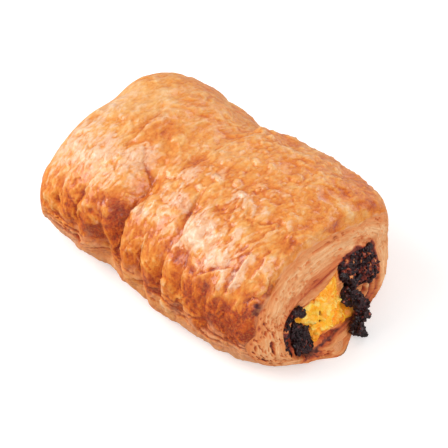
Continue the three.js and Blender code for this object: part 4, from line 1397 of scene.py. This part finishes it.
def maths(tree, operation, *values):
    """A calculation with sockets or plain values."""
    return add_node(tree, "ShaderNodeMath", dict(enumerate(values)), operation=operation).outputs[0]


def sums(tree, first, *terms):
    """A value plus other values, each times its own factor."""
    total = first
    for value, factor in terms:
        total = maths(tree, "MULTIPLY_ADD", value, factor, total)
    return total


def texture(tree, where, scale, detail):
    """A noise texture, whose outputs are Fac and Color."""
    return add_node(tree, "ShaderNodeTexNoise", {"Vector": where, "Scale": scale, "Detail": detail})


def blend_colours(tree, factor, first, second, way="MIX"):
    """A mix of two colours or colour sockets by a factor."""
    inputs = {"Factor": factor, "A": first, "B": second}
    return add_node(tree, "ShaderNodeMix", inputs, data_type="RGBA", blend_type=way).outputs["Result"]


def ramp(tree, value, stops):
    """A colour ramp from (position, colour) stops."""
    node = add_node(tree, "ShaderNodeValToRGB", {"Fac": value})
    elements = node.color_ramp.elements
    for _ in range(len(stops) - 2):
        elements.new(0.5)
    for element, (position, colour) in zip(elements, stops):
        element.position = position
        element.color = colour
    return node.outputs["Color"]


# %% The shared effects: grain and speckle
def start_group(name, sockets):
    """A new node group with the given (name, direction, kind, default) sockets."""
    group = bpy.data.node_groups.new(name, "ShaderNodeTree")
    for label, direction, kind, default in sockets:
        socket = group.interface.new_socket(label, in_out=direction, socket_type=f"NodeSocket{kind}")
        if default is not None:
            socket.default_value = default
    given = group.nodes.new("NodeGroupInput").outputs
    return group, given, group.nodes.new("NodeGroupOutput")


def make_grain_group():
    """Height from two sizes of noise: Scale is in bumps per metre, Coarse and Fine are shares."""
    group, given, result = start_group("fine_grain", (
        ("Scale", "INPUT", "Float", 900.0),
        ("Coarse", "INPUT", "Float", 0.6),
        ("Fine", "INPUT", "Float", 0.4),
        ("Height", "OUTPUT", "Float", None),
    ))
    where = add_node(group, "ShaderNodeTexCoord").outputs["Object"]
    coarse = texture(group, where, given["Scale"], 2.0).outputs["Fac"]
    fine = texture(group, where, maths(group, "MULTIPLY", given["Scale"], 3.1), 1.0).outputs["Fac"]
    first = maths(group, "MULTIPLY", coarse, given["Coarse"])
    both = maths(group, "MULTIPLY_ADD", fine, given["Fine"], first)
    set_inputs(group, result, {"Height": both})
    return group


def make_speckle_group():
    """Mixes Speck into Base where a noise at Scale rises past a level. Amount says how strongly."""
    group, given, result = start_group("speckle", (
        ("Base", "INPUT", "Color", None),
        ("Speck", "INPUT", "Color", None),
        ("Scale", "INPUT", "Float", 1200.0),
        ("Amount", "INPUT", "Float", 0.4),
        ("Color", "OUTPUT", "Color", None),
    ))
    where = add_node(group, "ShaderNodeTexCoord").outputs["Object"]
    spots = texture(group, where, given["Scale"], 3.0).outputs["Fac"]
    level = add_node(group, "ShaderNodeMapRange", {"Value": spots, "From Min": 0.42, "From Max": 0.68})
    share = maths(group, "MULTIPLY", level.outputs["Result"], given["Amount"])
    set_inputs(group, result, {"Color": blend_colours(group, share, given["Base"], given["Speck"])})
    return group


FINE_GRAIN = make_grain_group()
SPECKLE = make_speckle_group()
print("shared effects:", FINE_GRAIN.name, "and", SPECKLE.name)


# %% The shared effects: crackle
def make_crackle_group():
    """Thin wandering lines: 1 where a stretched noise passes its middle value, and 0 farther off.
    Place is in mm, Stretch gives the folds per mm in each direction, and Width says how broad the
    lines are. Patches is the noise itself."""
    group, given, result = start_group("crackle", (
        ("Place", "INPUT", "Vector", None),
        ("Stretch", "INPUT", "Vector", (0.4, 0.15, 0.4)),
        ("Width", "INPUT", "Float", 0.03),
        ("Lines", "OUTPUT", "Float", None),
        ("Patches", "OUTPUT", "Float", None),
    ))
    bend = texture(group, given["Place"], 0.3, 2.0).outputs["Color"]
    bent = add_node(
        group, "ShaderNodeVectorMath", {0: bend, 1: (2.5, 2.5, 2.5), 2: given["Place"]},
        operation="MULTIPLY_ADD",
    )
    inputs = {0: bent.outputs[0], 1: given["Stretch"]}
    scaled = add_node(group, "ShaderNodeVectorMath", inputs, operation="MULTIPLY")
    folds = texture(group, scaled.outputs[0], 1.0, 2.0).outputs["Fac"]
    away = maths(group, "ABSOLUTE", maths(group, "SUBTRACT", folds, 0.5))
    lines = add_node(group, "ShaderNodeMapRange", {
        "Value": away, "From Max": given["Width"], "To Min": 1.0, "To Max": 0.0,
    })
    set_inputs(group, result, {"Lines": lines.outputs["Result"], "Patches": folds})
    return group


CRACKLE = make_crackle_group()
print("and the third shared effect:", CRACKLE.name)


# %% Parts that every finish is put together from
def start_finish(name):
    """A new material with its tree and its Principled shader."""
    material = bpy.data.materials.new(name)
    material.use_nodes = True
    tree = material.node_tree
    return material, tree, tree.nodes["Principled BSDF"]


def attribute(tree, name):
    """The value that a piece's points carry under a name."""
    return add_node(tree, "ShaderNodeAttribute", attribute_name=name).outputs["Fac"]


def speckled(tree, base, speck, scale, amount):
    """The speckle group on a colour."""
    inputs = {"Base": base, "Speck": speck, "Scale": scale, "Amount": amount}
    return add_node(tree, "ShaderNodeGroup", inputs, node_tree=SPECKLE).outputs["Color"]


def crackled(tree, stretch, width):
    """The crackle group on the way that a piece's points carry: its Lines and its Patches."""
    way = add_node(tree, "ShaderNodeAttribute", attribute_name="way").outputs["Vector"]
    inputs = {"Place": way, "Stretch": stretch, "Width": width}
    node = add_node(tree, "ShaderNodeGroup", inputs, node_tree=CRACKLE)
    return node.outputs["Lines"], node.outputs["Patches"]


def grained(tree, shader, *more, scale, coarse, fine, depth):
    """The fine grain, and more heights with their factors, as a bump of a depth in metres."""
    inputs = {"Scale": scale, "Coarse": coarse, "Fine": fine}
    grain = add_node(tree, "ShaderNodeGroup", inputs, node_tree=FINE_GRAIN)
    height = sums(tree, grain.outputs["Height"], *more)
    bump = add_node(tree, "ShaderNodeBump", {"Height": height, "Distance": depth, "Strength": 1.0})
    set_inputs(tree, shader, {"Normal": bump.outputs["Normal"]})


# %% [markdown]
# ## The crust's finish
# Browning, with the painted shade of hollows and the painted highlight of crests, picks a colour
# from a ramp that runs from pale gold over orange to scorched brown. Pale, dry skin and painted
# sheen of the key light are mixed over it, and a speckle breaks both up. Bare dough and burnt marks
# come last. The egg glaze is a thin coat over the dough, smoother than the dough itself, which
# gives the soft bright patches on the shoulder together with the painted sheen.

# %% Baked crust
def make_crust_finish():
    """Browning with painted shading through a ramp, with dry patches and painted sheen, two speckles, bare
    dough, burnt marks and glaze.
    """
    material, tree, shader = start_finish("baked_crust")
    brown = attribute(tree, "browning")
    glaze = attribute(tree, "glaze")
    folds, patches = crackled(tree, stretch=(0.42, 0.13, 0.4), width=0.03)
    cracks, flecks = crackled(tree, stretch=(0.95, 0.40, 0.9), width=0.04)
    browning = sums(tree, brown, (folds, 0.06), (cracks, 0.06), (flecks, 0.26), (0.5, -0.28))
    baked = ramp(tree, browning, (
        (0.0, screen(250, 208, 156)), (0.2, screen(246, 180, 102)), (0.40, screen(239, 148, 56)),
        (0.60, screen(222, 112, 22)), (0.80, screen(188, 70, 14)), (0.88, screen(158, 48, 20)),
        (1.0, screen(110, 30, 26)),
    ))
    # Thin, dry skin and painted sheen of the key light, from paleness and the crackle's patches.
    thin_and_sheen = sums(
        tree, 0.0, (attribute(tree, "pale"), 0.82), (patches, 1.3), (flecks, 1.1), (0.5, -1.8),
        (folds, -0.35), (cracks, -0.35), (brown, -0.85),
    )
    dry_and_sheen = add_node(tree, "ShaderNodeMapRange", {
        "Value": thin_and_sheen, "From Min": 0.0, "From Max": 0.95, "To Max": 0.85,
    })
    toned = blend_colours(tree, dry_and_sheen.outputs["Result"], baked, screen(250, 210, 178))
    toned = speckled(tree, toned, screen(255, 180, 84), scale=1500.0, amount=0.2)
    toned = speckled(tree, toned, screen(206, 98, 28), scale=480.0, amount=0.26)
    toned = blend_colours(tree, attribute(tree, "bare"), toned, screen(238, 170, 122))
    toned = blend_colours(tree, attribute(tree, "burnt"), toned, screen(66, 12, 30))
    gloss = add_node(tree, "ShaderNodeMapRange", {"Value": glaze, "To Min": 0.6, "To Max": 0.26})
    set_inputs(tree, shader, {
        "Base Color": toned,
        "Roughness": gloss.outputs["Result"],
        "Coat Weight": glaze,
        "Specular IOR Level": 0.25,
        "Coat Roughness": 0.11,
        "Coat IOR": 1.6,
    })
    heights = ((folds, -0.28), (cracks, -0.2), (patches, 0.5), (flecks, 0.6))
    grained(tree, shader, *heights, scale=1100.0, coarse=0.5, fine=0.7, depth=0.00032)
    return material


crust.data.materials.append(make_crust_finish())
print("the crust's finish is", crust.data.materials[0].name)

# %% [markdown]
# ## The other finishes
# The pale dough has a ramp of its own, tinted orange where the cream has soaked in, and darkened by
# chocolate stains and by painted shade in the mouth's cavity, gaps and holes and along its rim. The
# cream lets a little light in, and glows faintly as painted light, so its shade stays warm. The
# chocolate runs from black hollows, painted shade, to the reddish skin on its crumbs, with lighter
# crests as painted highlight and greyish specks as painted glints, under a thin glossy coat.

# %% Pale dough of the ends
def make_dough_finish():
    """Browning through a ramp, then soaked by the cream, speckled, and darkened by chocolate stains and by
    painted shade.
    """
    material, tree, shader = start_finish("pale_dough")
    lines, layers = crackled(tree, stretch=(0.12, 0.12, 1.5), width=0.06)
    brown = attribute(tree, "browning")
    browning = sums(tree, brown, (lines, 0.06), (layers, 0.4), (0.5, -0.4))
    baked = ramp(tree, browning, (
        (0.0, screen(251, 196, 142)), (0.2, screen(241, 165, 104)), (0.45, screen(228, 132, 66)),
        (0.65, screen(206, 96, 42)), (0.85, screen(150, 56, 30)), (1.0, screen(84, 30, 22)),
    ))
    soaking = maths(tree, "MULTIPLY", attribute(tree, "soaked"), 0.9)
    toned = blend_colours(tree, soaking, baked, screen(255, 156, 52))
    toned = speckled(tree, toned, screen(220, 144, 88), scale=700.0, amount=0.3)
    # Chocolate stains and painted shade both darken the dough through this ramp.
    stain_and_shade_colour = ramp(tree, attribute(tree, "stain"), (
        (0.0, (1, 1, 1, 1)), (0.4, screen(214, 150, 140)), (0.75, screen(110, 48, 46)),
        (1.0, screen(48, 16, 24)),
    ))
    toned = blend_colours(tree, 1.0, toned, stain_and_shade_colour, "MULTIPLY")
    set_inputs(tree, shader, {"Base Color": toned, "Roughness": 0.6})
    heights = ((lines, -0.3), (layers, 0.8))
    grained(tree, shader, *heights, scale=1000.0, coarse=0.6, fine=0.4, depth=0.00022)
    return material


dough_finish = make_dough_finish()
near_end.data.materials.append(dough_finish)
far_end.data.materials.append(dough_finish)
print("the ends' finish is", dough_finish.name)


# %% Custard cream
def make_cream_finish():
    """Four yellows picked by noise, with orange places, painted highlights and the painted shade of holes
    mixed over them, pale specks as painted highlights, and a faint glow as painted light.
    """
    material, tree, shader = start_finish("custard_cream")
    where = add_node(tree, "ShaderNodeTexCoord").outputs["Object"]
    toned = ramp(tree, texture(tree, where, 330.0, 3.0).outputs["Fac"], (
        (0.3, screen(255, 160, 0)), (0.46, screen(255, 184, 8)), (0.6, screen(255, 202, 60)),
        (0.74, screen(255, 224, 140)),
    ))
    # Orange where the cream has browned, and painted shade in its hollows.
    toned = blend_colours(tree, attribute(tree, "orange"), toned, screen(255, 136, 0))
    # Painted highlights on crests and bright lumps.
    toned = blend_colours(tree, attribute(tree, "bright"), toned, screen(255, 222, 116))
    # Painted shade in the holes and pockets.
    toned = blend_colours(tree, attribute(tree, "hole"), toned, screen(130, 40, 4))
    # Pale specks as painted highlights.
    toned = speckled(tree, toned, screen(255, 222, 130), scale=900.0, amount=0.18)
    set_inputs(tree, shader, {
        "Base Color": toned,
        "Roughness": 0.38,
        "Specular IOR Level": 0.4,
        "Subsurface Weight": 0.15,
        "Subsurface Radius": (0.0012, 0.0007, 0.0003),
        "Subsurface Scale": 1.0,
        # A faint glow: painted light that keeps the cream's shade warm and bright.
        "Emission Color": screen(255, 190, 30),
        "Emission Strength": 0.06,
    })
    grained(tree, shader, scale=1100.0, coarse=0.5, fine=0.5, depth=0.0003)
    return material


cream_finish = make_cream_finish()
cream.data.materials.append(cream_finish)
curl.data.materials.append(cream_finish)
print("the cream's finish is", cream_finish.name)


# %% Baked chocolate
def make_chocolate_finish():
    """From black hollows and lighter crests, painted shade and highlight, to reddish skin through a ramp,
    with greyish specks as painted glints and a glossy coat.
    """
    material, tree, shader = start_finish("baked_chocolate")
    toned = ramp(tree, attribute(tree, "red_skin"), (
        (0.0, screen(12, 2, 2)), (0.35, screen(46, 14, 18)), (0.55, screen(112, 38, 26)),
        (0.78, screen(176, 70, 34)), (1.0, screen(242, 156, 90)),
    ))
    # Greyish specks as painted glints.
    toned = speckled(tree, toned, screen(110, 72, 80), scale=1100.0, amount=0.2)
    set_inputs(tree, shader, {
        "Base Color": toned,
        "Roughness": 0.4,
        "Specular IOR Level": 0.12,
        "Coat Weight": 0.45,
        "Coat Roughness": 0.06,
    })
    grained(tree, shader, scale=1300.0, coarse=0.6, fine=0.4, depth=0.0004)
    return material


chocolate_finish = make_chocolate_finish()
for piece in (left_chocolate, right_chocolate, chunk, rim_crumbs, grains, crumbs, *spurs):
    piece.data.materials.append(chocolate_finish)
print("the chocolate's finish is", chocolate_finish.name)

# %% [markdown]
# ## Table, light and camera
# The roll lies on a plain white table. One large soft light stands high beyond the far end, on the
# pleated wall's side, so that the shoulder of the crust mirrors it. A weaker one lights the shown
# end, a third lights the back, and white surroundings fill the shade. The camera looks down at the
# roll at three quarters, from a long way off.

# %% The table
def make_table():
    """A flat square, 4 m wide, under the roll. The camera sees it glowing white, but the roll gets
    only a grey table's light from it, or its underside would be lit too brightly."""
    mesh = bpy.data.meshes.new("table")
    mesh.from_pydata([(-2, -2, 0), (2, -2, 0), (2, 2, 0), (-2, 2, 0)], [], [(0, 1, 2, 3)])
    piece = add_object("table", mesh)
    material, tree, shader = start_finish("white_table")
    set_inputs(tree, shader, {
        "Base Color": (0.9, 0.9, 0.9, 1),
        "Roughness": 0.9,
        "Specular IOR Level": 0.0,
        "Emission Color": (1, 1, 1, 1),
        "Emission Strength": 0.3,
    })
    grey = add_node(tree, "ShaderNodeBsdfDiffuse", {"Color": (0.58, 0.58, 0.58, 1)})
    seen = add_node(tree, "ShaderNodeLightPath").outputs["Is Camera Ray"]
    both = add_node(tree, "ShaderNodeMixShader", {0: seen, 1: grey.outputs[0], 2: shader.outputs[0]})
    set_inputs(tree, tree.nodes["Material Output"], {"Surface": both.outputs[0]})
    mesh.materials.append(material)
    return piece


table = make_table()
print("the table is", round(table.dimensions.x, 1), "m wide")

# %% Light
CENTRE = (cad_low + cad_high) / 2


def add_soft_light(name, direction, distance, size, power):
    """A square light of a size in metres, in a direction from the roll, which it faces."""
    light = bpy.data.lights.new(name, "AREA")
    light.size = size
    light.energy = power
    lamp = add_object(name, light)
    away = Vector(direction).normalized()
    lamp.location = CENTRE + away * distance
    lamp.rotation_euler = away.to_track_quat("Z", "Y").to_euler()


add_soft_light("key_light", direction=(-0.62, -0.55, 0.62), distance=0.9, size=0.8, power=7.6)
add_soft_light("fill_light", direction=(0.85, -0.1, 0.5), distance=1.1, size=0.9, power=6.2)
add_soft_light("back_light", direction=(-0.15, 0.95, 0.3), distance=1.0, size=0.8, power=3.0)
world = bpy.data.worlds.new("white_surroundings")
world.use_nodes = True
background = world.node_tree.nodes["Background"]
set_inputs(world.node_tree, background, {"Color": (1, 0.96, 0.94, 1), "Strength": 0.46})
bpy.context.scene.world = world
print("lights:", [light.name for light in bpy.data.lights])

# %% Camera
# Angles are in degrees. The camera stands at an azimuth and an elevation, DISTANCE metres from the
# point it looks at, which lies a few mm beside the roll's middle.
AZIMUTH = 46.15
ELEVATION = 45.5
ROLL = -2.48
DISTANCE = 0.75
VIEW_WIDTH = 11.54
LOOKS_BESIDE = (1.4, -1.2, -4.0)


def add_camera():
    """A camera with a long lens that looks at a point a little below the roll's middle."""
    level = cosine(ELEVATION)
    back = Vector((sine(AZIMUTH) * level, -cosine(AZIMUTH) * level, sine(ELEVATION)))
    data = bpy.data.cameras.new("camera")
    data.lens = data.sensor_width / 2 / np.tan(np.radians(VIEW_WIDTH / 2))
    camera = add_object("camera", data)
    camera.location = CENTRE + Vector(LOOKS_BESIDE) * MM + back * DISTANCE
    facing = (-back).to_track_quat("-Z", "Y").to_matrix().to_4x4()
    camera.rotation_euler = (facing @ Matrix.Rotation(np.radians(ROLL), 4, "Z")).to_euler()
    bpy.context.scene.camera = camera
    return camera


camera = add_camera()
bpy.context.scene.view_settings.view_transform = "Standard"
print("the camera's lens is", round(camera.data.lens), "mm")
